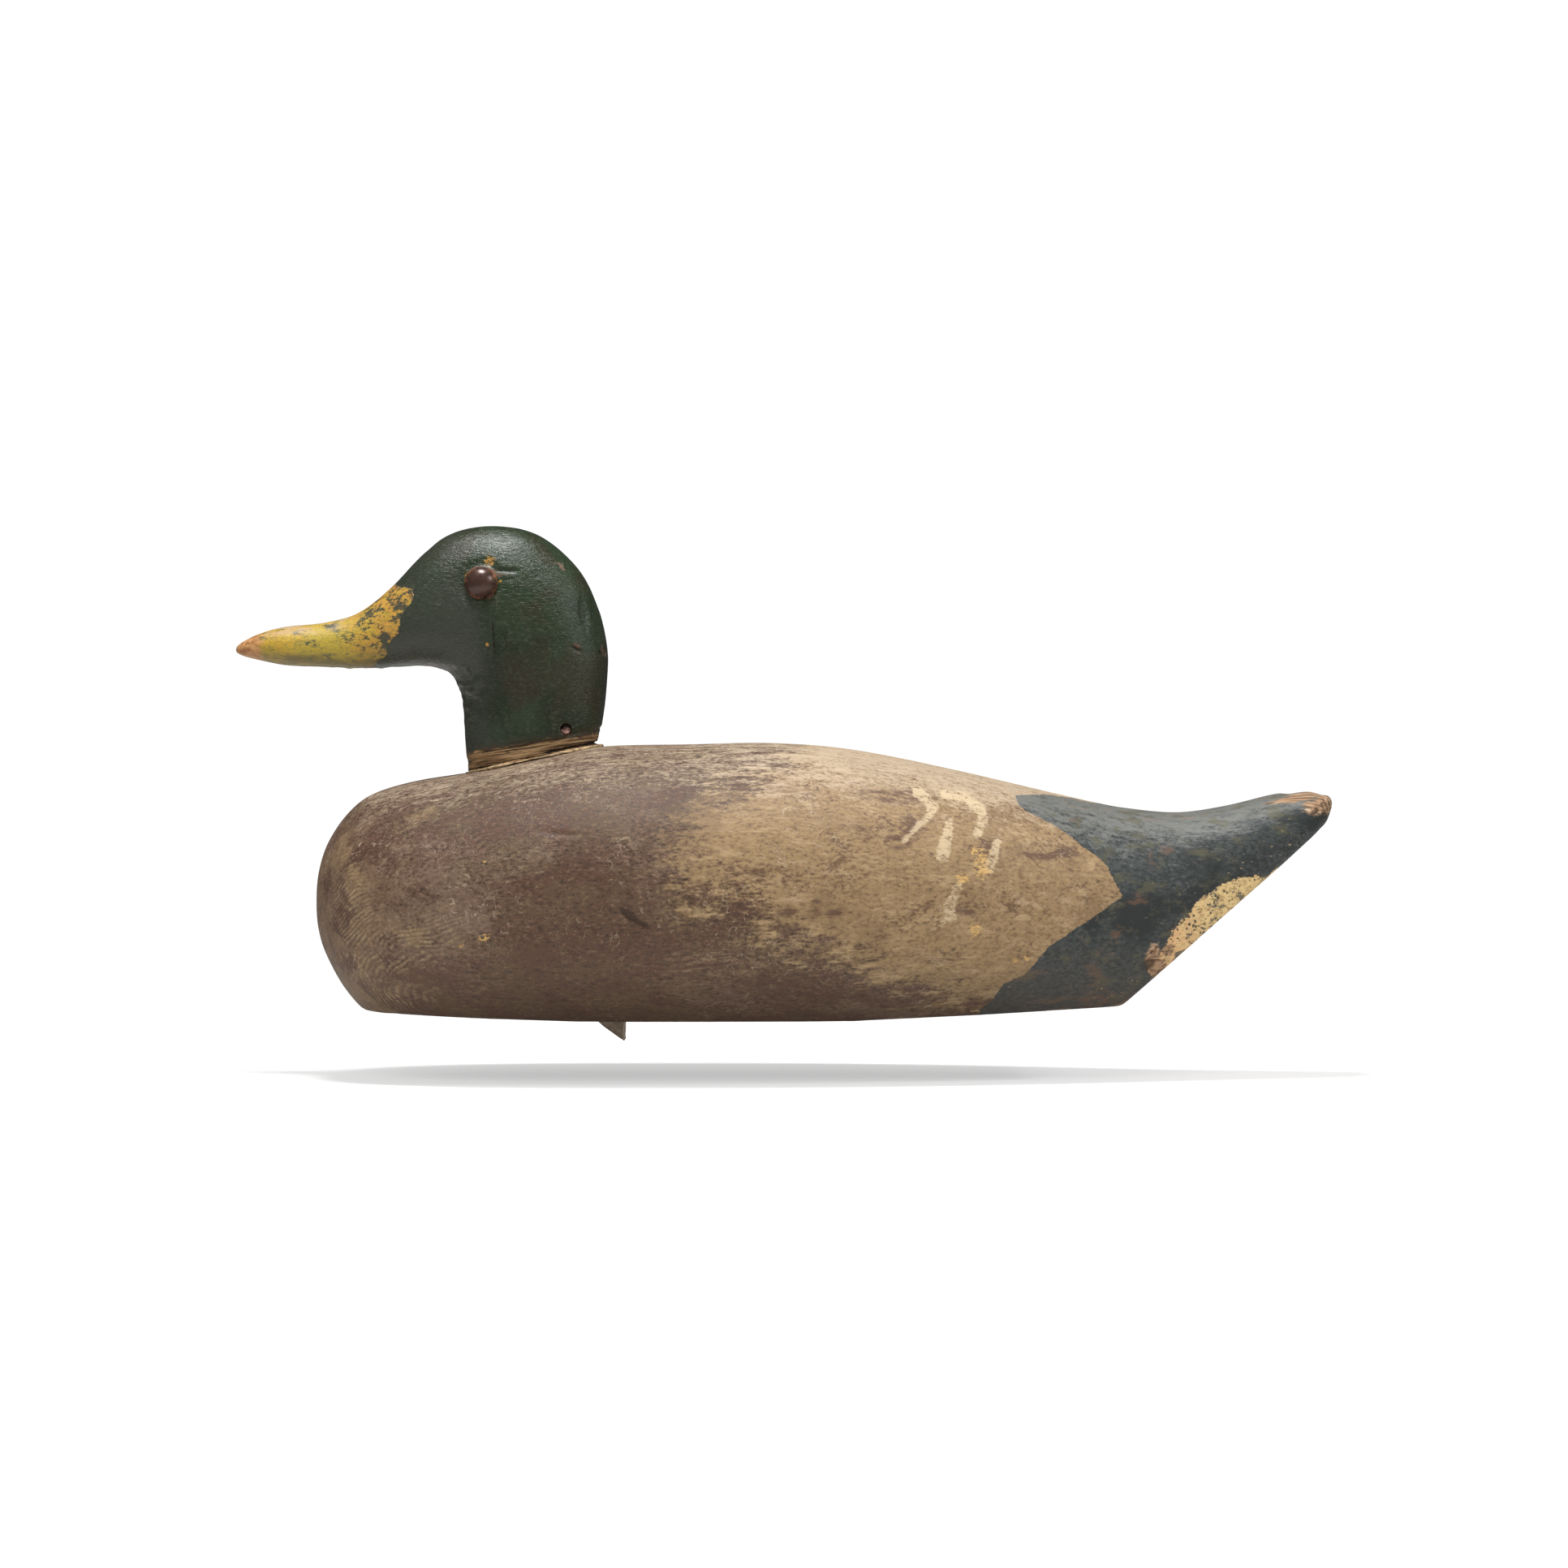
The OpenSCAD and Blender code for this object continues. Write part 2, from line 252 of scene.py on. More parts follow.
def layered(points: np.ndarray, size: float | Point, seed: int, octaves: int = 3) -> np.ndarray:
    """Noise from about -1 to 1 with finer noise laid over it, each octave half the size."""
    sizes = np.broadcast_to(np.asarray(size, float), (3,))
    return sum(ripple(points, tuple(sizes / 2**i), seed + i) / 2**i for i in range(octaves)) / 1.6


def step(values: np.ndarray, low: float, high: float) -> np.ndarray:
    """Rises smoothly from 0 at low to 1 at high."""
    part = np.clip((values - low) / (high - low), 0, 1)
    return part * part * (3 - 2 * part)


# ---- outlines of the paint --------------------------------------------------------------


@dataclass(frozen=True)
class Stencil:
    """An upright board along the decoy's middle that paint edges and marks are laid out on.

    Marks are thrown from the board onto both sides of the carving from a stand at stand_off.
    """

    stand_x: float = 25.8
    stand_z: float = 88.8
    stand_off: float = 1800.0

    def thrown(self, points: np.ndarray) -> np.ndarray:
        """Where each point of the carving lies on the board, as rows of x and z."""
        reach = self.stand_off / (self.stand_off - np.abs(points[:, 1]))
        x = self.stand_x + (points[:, 0] - self.stand_x) * reach
        z = self.stand_z + (points[:, 2] - self.stand_z) * reach
        return np.stack([x, z], 1)


def inside_outline(places: np.ndarray, corners: tuple[Point, ...]) -> np.ndarray:
    """Distance from a closed outline, positive inside it.

    Args:
        places: Rows of x and z on the stencil.
        corners: The outline's corners, in order.

    Returns:
        One distance for each place, in millimetres.
    """
    nearest = np.full(len(places), 1e9)
    crossings = np.zeros(len(places), int)
    x, z = places.T
    for (ax, az), (bx, bz) in zip(corners, corners[1:] + corners[:1]):
        run = np.array([bx - ax, bz - az])
        along = np.clip(((places - (ax, az)) @ run) / (run @ run), 0, 1)
        gap = np.hypot(x - ax - along * run[0], z - az - along * run[1])
        nearest = np.minimum(nearest, gap)
        crossings += ((az > z) != (bz > z)) & (x < ax + (z - az) * run[0] / (run[1] or 1e-9))
    return np.where(crossings % 2 == 1, nearest, -nearest)


@dataclass(frozen=True)
class Stroke:
    """One stroke of a brush, from its start to its end, tapering in width."""

    path: tuple[Point, ...]
    width: float
    end_width: float

    def cover(self, places: np.ndarray) -> np.ndarray:
        """Distance inside the stroke's edge, positive on the paint."""
        best = np.full(len(places), -1e9)
        pieces = len(self.path) - 1
        for i, ((ax, az), (bx, bz)) in enumerate(zip(self.path, self.path[1:])):
            run = np.array([bx - ax, bz - az])
            along = np.clip(((places - (ax, az)) @ run) / (run @ run), 0, 1)
            gap = np.hypot(places[:, 0] - ax - along * run[0], places[:, 1] - az - along * run[1])
            share = (i + along) / pieces
            half = (self.width + (self.end_width - self.width) * share) / 2
            best = np.maximum(best, half - gap)
        return best


@dataclass(frozen=True)
class Spot:
    """An oval spot at x, z, turned by a number of degrees."""

    x: float
    z: float
    length: float
    width: float
    turn: float = 0.0

    def fade(self, places: np.ndarray) -> np.ndarray:
        """1 at the spot's middle, 0 at its edge, and falling on beyond it."""
        cosine, sine = math.cos(math.radians(self.turn)), math.sin(math.radians(self.turn))
        x, z = places[:, 0] - self.x, places[:, 1] - self.z
        across = np.hypot((x * cosine + z * sine) / self.length, (z * cosine - x * sine) / self.width)
        return np.maximum(1 - across * 2, -3)


def strongest(spots: tuple[Spot, ...], places: np.ndarray) -> np.ndarray:
    """The strongest of a group of spots at each place."""
    return np.max([spot.fade(places) for spot in spots], axis=0)


@dataclass(frozen=True)
class Gouge:
    """A dent, chip or gouge in one side of a carving, sunk by depth at its middle."""

    spot: Spot
    depth: float
    sides: tuple[Side, ...] = (Side.LEFT,)

    def sunk(self, points: np.ndarray, places: np.ndarray) -> np.ndarray:
        """How far each point is sunk, in millimetres."""
        near = np.isin(np.sign(points[:, 1]), [side.value for side in self.sides])
        return self.depth * near * step(self.spot.fade(places), 0.0, 0.8)


# ---- nodes of the materials -------------------------------------------------------------


class Nodes:
    """Adds shader nodes to a tree and links them, taking numbers or sockets for every input."""

    def __init__(self, tree: bpy.types.NodeTree) -> None:
        """Starts on an empty or a new tree."""
        self.tree = tree

    def add(self, kind: str, inputs: dict[str | int, Value] | None = None, **settings: object) -> bpy.types.Node:
        """Adds one node.

        Args:
            kind: Blender's name of the node's type.
            inputs: Values or sockets for its inputs, by name or number.
            settings: The node's own settings.

        Returns:
            The new node.
        """
        node = self.tree.nodes.new(kind)
        for key, value in settings.items():
            setattr(node, key, value)
        for key, value in (inputs or {}).items():
            self.feed(node.inputs[key], value)
        return node

    def feed(self, socket: Socket, value: Value) -> None:
        """Links a socket to an input, or sets the input's own value."""
        if isinstance(value, bpy.types.NodeSocket):
            self.tree.links.new(value, socket)
        elif isinstance(value, tuple) and len(value) == 3 and socket.type == "RGBA":
            socket.default_value = (*value, 1)
        else:
            socket.default_value = value

    def math(self, operation: str, *values: Value, clamp: bool = False) -> Socket:
        """A Math node's result."""
        return self.add("ShaderNodeMath", dict(enumerate(values)), operation=operation, use_clamp=clamp).outputs[0]

    def mix(self, amount: Value, first: Value, second: Value, blend: str = "MIX") -> Socket:
        """Two colours mixed by an amount from 0 to 1."""
        node = self.add("ShaderNodeMix", data_type="RGBA", blend_type=blend, clamp_factor=True)
        for i, value in ((0, amount), (6, first), (7, second)):
            self.feed(node.inputs[i], value)
        return node.outputs[2]

    def blend(self, amount: Value, first: Value, second: Value) -> Socket:
        """Two numbers mixed by an amount from 0 to 1."""
        node = self.add("ShaderNodeMix", data_type="FLOAT", clamp_factor=True)
        for i, value in ((0, amount), (2, first), (3, second)):
            self.feed(node.inputs[i], value)
        return node.outputs[0]

    def ease(self, value: Value, low: Value, high: Value, start: float = 0.0, end: float = 1.0) -> Socket:
        """A number that goes smoothly from start to end as value goes from low to high."""
        inputs = {"Value": value, "From Min": low, "From Max": high, "To Min": start, "To Max": end}
        return self.add("ShaderNodeMapRange", inputs, interpolation_type="SMOOTHSTEP").outputs[0]

    def place(self) -> Socket:
        """The point on the surface, in the object's own coordinates."""
        return self.add("ShaderNodeTexCoord").outputs["Object"]

    def stretched(self, place: Value, scale: Point, shift: Point = (0, 0, 0), turn: Point = (0, 0, 0)) -> Socket:
        """Coordinates scaled, shifted and turned, with the scale in bumps per metre."""
        inputs = {"Vector": place, "Location": shift, "Rotation": turn, "Scale": scale}
        return self.add("ShaderNodeMapping", inputs).outputs[0]

    def noise(self, place: Value, scale: float = 1.0, detail: float = 3.0, rough: float = 0.55,
              warp: float = 0.0) -> Socket:
        """Cloudy noise from 0 to 1."""
        inputs = {"Vector": place, "Scale": scale, "Detail": detail, "Roughness": rough, "Distortion": warp}
        return self.add("ShaderNodeTexNoise", inputs).outputs["Fac"]

    def cells(self, place: Value, scale: float, feature: str = "F1", spread: float = 1.0) -> Socket:
        """Distance to the nearest of scattered points."""
        inputs = {"Vector": place, "Scale": scale, "Randomness": spread}
        return self.add("ShaderNodeTexVoronoi", inputs, feature=feature).outputs["Distance"]

    def field(self, name: str) -> Socket:
        """A number stored on the mesh's points."""
        return self.add("ShaderNodeAttribute", attribute_name=name).outputs["Fac"]

    def parts(self, place: Value) -> tuple[Socket, Socket, Socket]:
        """The three numbers of a point."""
        node = self.add("ShaderNodeSeparateXYZ", {0: place})
        return node.outputs[0], node.outputs[1], node.outputs[2]

    def bump(self, height: Value, distance: float, strength: Value = 1.0, normal: Socket | None = None) -> Socket:
        """A normal bent by a height, where a height of 1 stands distance metres proud."""
        inputs: dict[str | int, Value] = {"Height": height, "Distance": distance, "Strength": strength}
        if normal is not None:
            inputs["Normal"] = normal
        return self.add("ShaderNodeBump", inputs).outputs[0]

    def group(self, tree: bpy.types.NodeTree, **inputs: Value) -> bpy.types.Node:
        """Places a node group, its inputs named with underscores for spaces."""
        node = self.add("ShaderNodeGroup", node_tree=tree)
        for key, value in inputs.items():
            self.feed(node.inputs[key.replace("_", " ")], value)
        return node


class Effect:
    """A node group that several materials share."""

    def __init__(self, name: str, inputs: dict[str, Value], outputs: tuple[str, ...]) -> None:
        """Makes the group's sockets.

        Args:
            name: The group's name.
            inputs: Each input's default: a number, or a tuple for a vector.
            outputs: The outputs' names, each a number.
        """
        self.tree = bpy.data.node_groups.new(name, "ShaderNodeTree")
        for key, value in inputs.items():
            kind = "NodeSocketVector" if isinstance(value, tuple) else "NodeSocketFloat"
            socket = self.tree.interface.new_socket(key, in_out="INPUT", socket_type=kind)
            socket.default_value = value
        for key in outputs:
            self.tree.interface.new_socket(key, in_out="OUTPUT", socket_type="NodeSocketFloat")
        self.nodes = Nodes(self.tree)
        self.given = self.nodes.add("NodeGroupInput").outputs
        self.result = self.nodes.add("NodeGroupOutput").inputs

    def put(self, **outputs: Socket) -> bpy.types.NodeTree:
        """Links the group's outputs and returns its tree."""
        for key, socket in outputs.items():
            self.tree.links.new(socket, self.result[key.replace("_", " ")])
        return self.tree


def growth_rings() -> bpy.types.NodeTree:
    """Growth rings about a pith that runs along X: raised lines, with long fibres between them."""
    effect = Effect("Growth Rings", {"Vector": (0.0, 0.0, 0.0), "Pith Y": -0.12, "Pith Z": -0.05,
                                     "Spacing": 0.0015}, ("Ring", "Fibre"))
    n, given = effect.nodes, effect.given
    x, y, z = n.parts(given["Vector"])
    wander = n.noise(n.stretched(given["Vector"], (16, 30, 30)), detail=4, rough=0.5)
    across = n.math("SUBTRACT", y, given["Pith Y"])
    up = n.math("SUBTRACT", z, given["Pith Z"])
    radius = n.math("SQRT", n.math("ADD", n.math("MULTIPLY", across, across), n.math("MULTIPLY", up, up)))
    radius = n.math("ADD", radius, n.math("MULTIPLY", n.math("ABSOLUTE", x), 0.06))
    radius = n.math("ADD", radius, n.math("MULTIPLY", wander, 0.016))
    phase = n.math("FRACT", n.math("DIVIDE", radius, given["Spacing"]))
    broken = n.noise(n.stretched(given["Vector"], (150, 260, 260)), detail=4, rough=0.65)
    ring = n.math("MULTIPLY", n.ease(phase, 0.15, 0.65), n.ease(phase, 1.0, 0.80))
    ring = n.math("MULTIPLY", ring, n.ease(broken, 0.36, 0.60))
    fibre = n.noise(n.stretched(given["Vector"], (90, 1500, 1500)), detail=2, rough=0.6)
    return effect.put(Ring=ring, Fibre=fibre)


def flecks() -> bpy.types.NodeTree:
    """Small scattered flecks of uneven size, thinned out by a slower noise."""
    effect = Effect("Flecks", {"Vector": (0.0, 0.0, 0.0), "Scale": 300.0, "Size": 0.2, "Amount": 0.5}, ("Fleck",))
    n, given = effect.nodes, effect.given
    warped = n.add("ShaderNodeVectorMath", {0: given["Vector"], "Scale": given["Scale"]}, operation="SCALE").outputs[0]
    ragged = n.noise(warped, scale=2.6, detail=3)
    dots = n.cells(warped, 1.0)
    some = n.noise(warped, scale=0.13, detail=3)
    reach = n.math("MULTIPLY", given["Size"], n.ease(some, n.math("SUBTRACT", 1.0, given["Amount"]), 0.8))
    near = n.math("ADD", dots, n.math("MULTIPLY", n.math("SUBTRACT", ragged, 0.5), 0.35))
    fleck = n.ease(near, reach, n.math("SUBTRACT", reach, 0.08))
    return effect.put(Fleck=n.math("MULTIPLY", fleck, n.ease(reach, 0.01, 0.04)))


def hair_scratches() -> bpy.types.NodeTree:
    """Fine curved scratches, broken into short runs and gathered in patches."""
    effect = Effect("Hair Scratches", {"Vector": (0.0, 0.0, 0.0), "Scale": 170.0, "Amount": 0.5}, ("Line",))
    n, given = effect.nodes, effect.given
    scaled = n.add("ShaderNodeVectorMath", {0: given["Vector"], "Scale": given["Scale"]}, operation="SCALE").outputs[0]
    lines = None
    for shift in (0.0, 7.7):
        moved = n.add("ShaderNodeVectorMath", {0: scaled, 1: (shift, shift, shift)}, operation="ADD").outputs[0]
        level = n.math("ABSOLUTE", n.math("SUBTRACT", n.noise(moved, detail=1.5, warp=0.8), 0.5))
        line = n.math("MULTIPLY", n.ease(level, 0.013, 0.003), n.ease(n.noise(moved, scale=1.7, detail=1), 0.5, 0.56))
        lines = line if lines is None else n.math("MAXIMUM", lines, line)
    patch = n.noise(scaled, scale=0.2, detail=2)
    some = n.ease(patch, n.math("SUBTRACT", 0.8, n.math("MULTIPLY", given["Amount"], 0.5)), 0.72)
    return effect.put(Line=n.math("MULTIPLY", lines, some))


def paint_edge() -> bpy.types.NodeTree:
    """A painted edge: the distance inside it made ragged and worn to a mask."""
    effect = Effect("Paint Edge", {"Vector": (0.0, 0.0, 0.0), "Inside": 0.0, "Ragged": 0.6, "Softness": 0.3},
                    ("Mask",))
    n, given = effect.nodes, effect.given
    coarse = n.noise(n.stretched(given["Vector"], (160, 220, 220)), detail=4, rough=0.6)
    fine = n.noise(n.stretched(given["Vector"], (700, 1600, 1600)), detail=3, rough=0.6)
    shake = n.math("ADD", n.math("SUBTRACT", coarse, 0.5), n.math("MULTIPLY", n.math("SUBTRACT", fine, 0.5), 0.8))
    moved = n.math("MULTIPLY_ADD", shake, n.math("MULTIPLY", given["Ragged"], 4.0), given["Inside"])
    low = n.math("MULTIPLY", given["Softness"], -1.0)
    return effect.put(Mask=n.ease(moved, low, given["Softness"]))


def rust_bloom() -> bpy.types.NodeTree:
    """Rust in blooms and pits over old iron."""
    effect = Effect("Rust Bloom", {"Vector": (0.0, 0.0, 0.0), "Scale": 400.0}, ("Bloom", "Pits"))
    n, given = effect.nodes, effect.given
    scaled = n.add("ShaderNodeVectorMath", {0: given["Vector"], "Scale": given["Scale"]}, operation="SCALE").outputs[0]
    bloom = n.noise(scaled, scale=1.0, detail=5, rough=0.65, warp=0.5)
    pits = n.cells(scaled, 2.2)
    return effect.put(Bloom=n.ease(bloom, 0.35, 0.65), Pits=n.ease(pits, 0.0, 0.5))


@dataclass(frozen=True)
class Effects:
    """The node groups that the finishes share."""

    rings: bpy.types.NodeTree
    flecks: bpy.types.NodeTree
    hairs: bpy.types.NodeTree
    edge: bpy.types.NodeTree
    rust: bpy.types.NodeTree


# ---- finishes ---------------------------------------------------------------------------


@dataclass(frozen=True)
class Finish:
    """A finish: its name, and the steady settings of its shader."""

    name: str
    effects: Effects
    specular: float = 0.4

    def new(self) -> tuple[bpy.types.Material, Nodes, bpy.types.Node]:
        """Starts the material.

        Returns:
            The material, its nodes, and its Principled shader.
        """
        material = bpy.data.materials.new(self.name)
        material.use_nodes = True
        nodes = Nodes(material.node_tree)
        shader = material.node_tree.nodes["Principled BSDF"]
        shader.inputs["Specular IOR Level"].default_value = self.specular
        return material, nodes, shader


@dataclass(frozen=True)
class BodyPaint(Finish):
    """Old oil paint on the body: brown breast, tan flanks, blue-black rump, cream flicks and bare wood."""

    # Dark sooty brown for dark marks in the paint, and the colour of the painted shade low down and in hollows.
    soot_and_shade: Rgb = (0.036, 0.021, 0.013)
    maroon: Rgb = (0.083, 0.041, 0.026)
    umber: Rgb = (0.094, 0.056, 0.031)
    haze: Rgb = (0.180, 0.120, 0.084)
    tan_dark: Rgb = (0.140, 0.082, 0.040)
    tan: Rgb = (0.262, 0.175, 0.086)
    tan_pale: Rgb = (0.390, 0.280, 0.158)
    back_pale: Rgb = (0.415, 0.330, 0.235)
    navy_dark: Rgb = (0.017, 0.021, 0.021)
    navy: Rgb = (0.044, 0.051, 0.050)
    navy_pale: Rgb = (0.135, 0.138, 0.128)
    moss: Rgb = (0.075, 0.070, 0.038)
    cream: Rgb = (0.600, 0.440, 0.205)
    cream_dark: Rgb = (0.270, 0.175, 0.075)
    peach: Rgb = (0.560, 0.340, 0.160)
    flick: Rgb = (0.480, 0.375, 0.235)
    orange: Rgb = (0.520, 0.320, 0.105)
    rust_brown: Rgb = (0.105, 0.058, 0.036)
    bare: Rgb = (0.330, 0.205, 0.120)
    bare_dark: Rgb = (0.075, 0.040, 0.022)

    def make(self) -> bpy.types.Material:
        """Builds the material."""
        material, n, shader = self.new()
        place = n.place()
        grain = n.group(self.effects.rings, Vector=place)
        ring, fibre = grain.outputs["Ring"], grain.outputs["Fibre"]
        cloud = n.noise(n.stretched(place, (22, 30, 30)), detail=5, rough=0.62, warp=0.3)
        patch = n.noise(n.stretched(place, (38, 75, 75), shift=(0.7, 0, 0)), detail=6, rough=0.68, warp=0.4)
        brush = n.noise(n.stretched(place, (75, 330, 330)), detail=6, rough=0.72)
        mottle = n.noise(n.stretched(place, (480, 900, 900)), detail=5, rough=0.78)
        hair = n.group(self.effects.hairs, Vector=place, Amount=0.80).outputs["Line"]

        brown = self.breast(n, place, ring, patch, mottle)
        tan = self.flank(n, cloud, patch, brush, mottle)
        drift = n.math("MULTIPLY", n.math("SUBTRACT", patch, 0.5), 60)
        drift = n.math("MULTIPLY_ADD", n.math("SUBTRACT", brush, 0.5), 62, drift)
        drift = n.math("MULTIPLY_ADD", n.math("SUBTRACT", mottle, 0.5), 34, drift)
        reach = n.math("ADD", n.field("flank"), drift)
        colour = n.mix(n.ease(reach, -9, 9), brown, tan)
        colour = self.worn_back_and_top_light(n, colour, reach, brush, mottle)
        colour = self.daubed(n, place, colour, brush, mottle)
        fine = n.group(self.effects.hairs, Vector=place, Scale=330.0, Amount=0.9).outputs["Line"]
        fine = n.math("MULTIPLY", fine, n.ease(n.field("up"), 0.1, 0.8, 0.12, 1.0))
        colour = n.mix(n.math("MULTIPLY", n.math("MAXIMUM", hair, fine), 0.60), colour, self.back_pale)

        rump = n.group(self.effects.edge, Vector=place, Inside=n.field("rump"), Ragged=0.32, Softness=0.14)
        colour = n.mix(rump.outputs["Mask"], colour, self.navy_coat(n, place, cloud, brush, mottle, hair))
        cream = n.group(self.effects.edge, Vector=place, Inside=n.field("under_tail"), Ragged=1.1, Softness=0.25)
        colour = n.mix(cream.outputs["Mask"], colour, self.cream_coat(n, place, mottle))

        raw = n.math("MULTIPLY_ADD", n.math("SUBTRACT", brush, 0.5), 2.4, n.field("raw"))
        raw = n.ease(raw, 0.0, 0.3)
        strand = n.noise(n.stretched(place, (40, 1000, 700)), detail=4, rough=0.6)
        torn = n.mix(n.ease(strand, 0.36, 0.60), self.bare_dark, (0.34, 0.215, 0.125))
        torn = n.mix(n.ease(strand, 0.58, 0.70), torn, (0.45, 0.36, 0.26))
        colour = n.mix(raw, colour, torn)

        rim = n.ease(n.math("MULTIPLY_ADD", n.math("SUBTRACT", mottle, 0.5), 1.6, n.field("arris")), 0.5, 0.8)
        colour = n.mix(n.math("MULTIPLY", rim, 0.8), colour, n.mix(fibre, self.bare_dark, self.bare))
        # Painted shade: darker towards the bottom of the body, fading out under the tail.
        painted_low_shade = n.math("MULTIPLY", n.field("low"), n.ease(cloud, 0.3, 0.7, 0.55, 0.9))
        colour = n.mix(n.math("MULTIPLY", painted_low_shade, 0.8), colour, n.mix(0.42, self.soot_and_shade, colour))
        # Painted shade: the colour darkened towards sooty brown in the hollows of the carving.
        painted_hollow_shade = n.ease(n.math("MULTIPLY", n.field("proud"), -1.0), 0.10, 0.5)
        colour = n.mix(n.math("MULTIPLY", painted_hollow_shade, 0.75), colour, self.soot_and_shade)
        n.feed(shader.inputs["Base Color"], colour)

        rough = n.blend(n.ease(mottle, 0.35, 0.65), 0.50, 0.66)
        rough = n.blend(n.math("MULTIPLY", rump.outputs["Mask"], 0.6), rough, 0.42)
        n.feed(shader.inputs["Roughness"], n.blend(raw, rough, 0.85))

        relief = n.math("MULTIPLY", ring, n.ease(n.field("ridged"), -0.2, 0.8, 0.0, 0.9))
        relief = n.math("MULTIPLY_ADD", fibre, 0.30, relief)
        relief = n.math("MULTIPLY_ADD", mottle, 0.9, relief)
        relief = n.math("MULTIPLY_ADD", brush, 0.5, relief)
        relief = n.math("MULTIPLY_ADD", rump.outputs["Mask"], 0.35, relief)
        relief = n.math("MULTIPLY_ADD", cream.outputs["Mask"], 0.6, relief)
        n.feed(shader.inputs["Normal"], n.bump(relief, 0.00030, 0.85))
        return material

    def breast(self, n: Nodes, place: Socket, ring: Socket, patch: Socket, mottle: Socket) -> Socket:
        """The brown of the breast: maroon and umber, hazed, with its ridges worn pale in patches."""
        brown = n.mix(n.ease(patch, 0.42, 0.56), self.maroon, self.umber)
        brown = n.mix(n.ease(mottle, 0.50, 0.36), brown, self.soot_and_shade)
        haze = n.noise(n.stretched(place, (16, 26, 26), shift=(0.3, 0.1, 0)), detail=6, rough=0.7)
        haze = n.ease(n.math("MULTIPLY_ADD", n.math("SUBTRACT", mottle, 0.5), 0.5, haze), 0.50, 0.68)
        brown = n.mix(n.math("MULTIPLY", haze, 0.55), brown, self.haze)
        film = n.ease(mottle, 0.55, 0.70)
        brown = n.mix(n.math("MULTIPLY", film, 0.34), brown, self.tan_pale)
        worn = n.ease(n.math("MULTIPLY_ADD", n.field("breast_wear"), 0.16, patch), 0.50, 0.68)
        brown = n.mix(n.math("MULTIPLY", n.math("MULTIPLY", worn, n.field("breast_wear")), 0.32), brown, self.bare)
        lines = n.math("MULTIPLY", n.math("MULTIPLY", ring, n.ease(n.field("ridged"), -0.3, 0.9)),
                       n.ease(mottle, 0.40, 0.56, 0.35, 1.0))
        brown = n.mix(n.math("MULTIPLY", lines, 0.60), brown, self.tan_pale)
        bare = n.ease(n.math("ADD", n.field("bare_spots"), n.math("MULTIPLY", n.math("SUBTRACT", patch, 0.5), 6)), 0.1, 0.9)
        ridge = n.ease(ring, 0.0, 1.0, 0.35, 0.9)
        bare = n.math("MULTIPLY", n.math("MULTIPLY", bare, ridge), n.ease(mottle, 0.38, 0.56, 0.25, 0.9))
        return n.mix(bare, brown, self.tan)

    def flank(self, n: Nodes, cloud: Socket, patch: Socket, brush: Socket, mottle: Socket) -> Socket:
        """The tan of the flank, streaked along the grain, with the brown showing through."""
        tan = n.mix(n.ease(mottle, 0.34, 0.58), self.tan_dark, self.tan)
        tan = n.mix(n.math("MULTIPLY", n.ease(brush, 0.50, 0.66), 0.6), tan, self.tan_pale)
        tan = n.mix(n.math("MULTIPLY", n.ease(cloud, 0.50, 0.38), 0.5), tan, self.tan_dark)
        through = n.math("MULTIPLY_ADD", n.math("SUBTRACT", mottle, 0.5), 0.7, patch)
        tan = n.mix(n.math("MULTIPLY", n.ease(through, 0.43, 0.33), 0.62), tan, self.maroon)
        dash = n.math("MULTIPLY", n.ease(brush, 0.42, 0.33), n.ease(mottle, 0.56, 0.44))
        return n.mix(n.math("MULTIPLY", dash, 0.6), tan, self.soot_and_shade)

    def worn_back_and_top_light(self, n: Nodes, colour: Socket, reach: Socket, brush: Socket, mottle: Socket) -> Socket:
        """The back bleached by the sun and rubbed pale, and painted paler on its upward faces as top light, most over
        the flank's paint.
        """
        level = n.math("MULTIPLY_ADD", n.math("SUBTRACT", mottle, 0.5), 0.7, n.math("MULTIPLY_ADD", brush, 0.6, 0.1))
        # Painted top light: upward faces made paler.
        level = n.math("MULTIPLY_ADD", n.ease(n.field("up"), 0.32, 1.0), 0.44, level)
        level = n.math("MULTIPLY_ADD", n.ease(reach, -30, 30), 0.14, level)
        return n.mix(n.math("MULTIPLY", n.ease(level, 0.72, 1.04), 0.74), colour, self.back_pale)

    def daubed(self, n: Nodes, place: Socket, colour: Socket, brush: Socket, mottle: Socket) -> Socket:
        """Dry cream flicks of a brush, orange daubs and dark stains over the paint."""
        stain = n.ease(n.math("MULTIPLY_ADD", n.math("SUBTRACT", brush, 0.5), 5.0, n.field("stains")), 0.2, 0.8)
        colour = n.mix(n.math("MULTIPLY", stain, 0.85), colour, self.maroon)
        flick = n.group(self.effects.edge, Vector=place, Inside=n.field("flicks"), Ragged=0.60, Softness=0.5)
        dry = n.math("MULTIPLY_ADD", n.math("SUBTRACT", brush, 0.5), 0.7, mottle)
        dry = n.math("MULTIPLY_ADD", n.field("flick_fade"), -0.12, dry)
        dry = n.math("MULTIPLY", flick.outputs["Mask"], n.ease(dry, 0.31, 0.56))
        colour = n.mix(n.math("MULTIPLY", dry, 0.82), colour, self.flick)
        gold = n.group(self.effects.edge, Vector=place, Inside=n.math("MULTIPLY", n.field("gold"), 1.6), Ragged=0.95,
                       Softness=0.35)
        return n.mix(n.math("MULTIPLY", gold.outputs["Mask"], n.ease(mottle, 0.42, 0.56, 0.0, 0.9)), colour, self.orange)

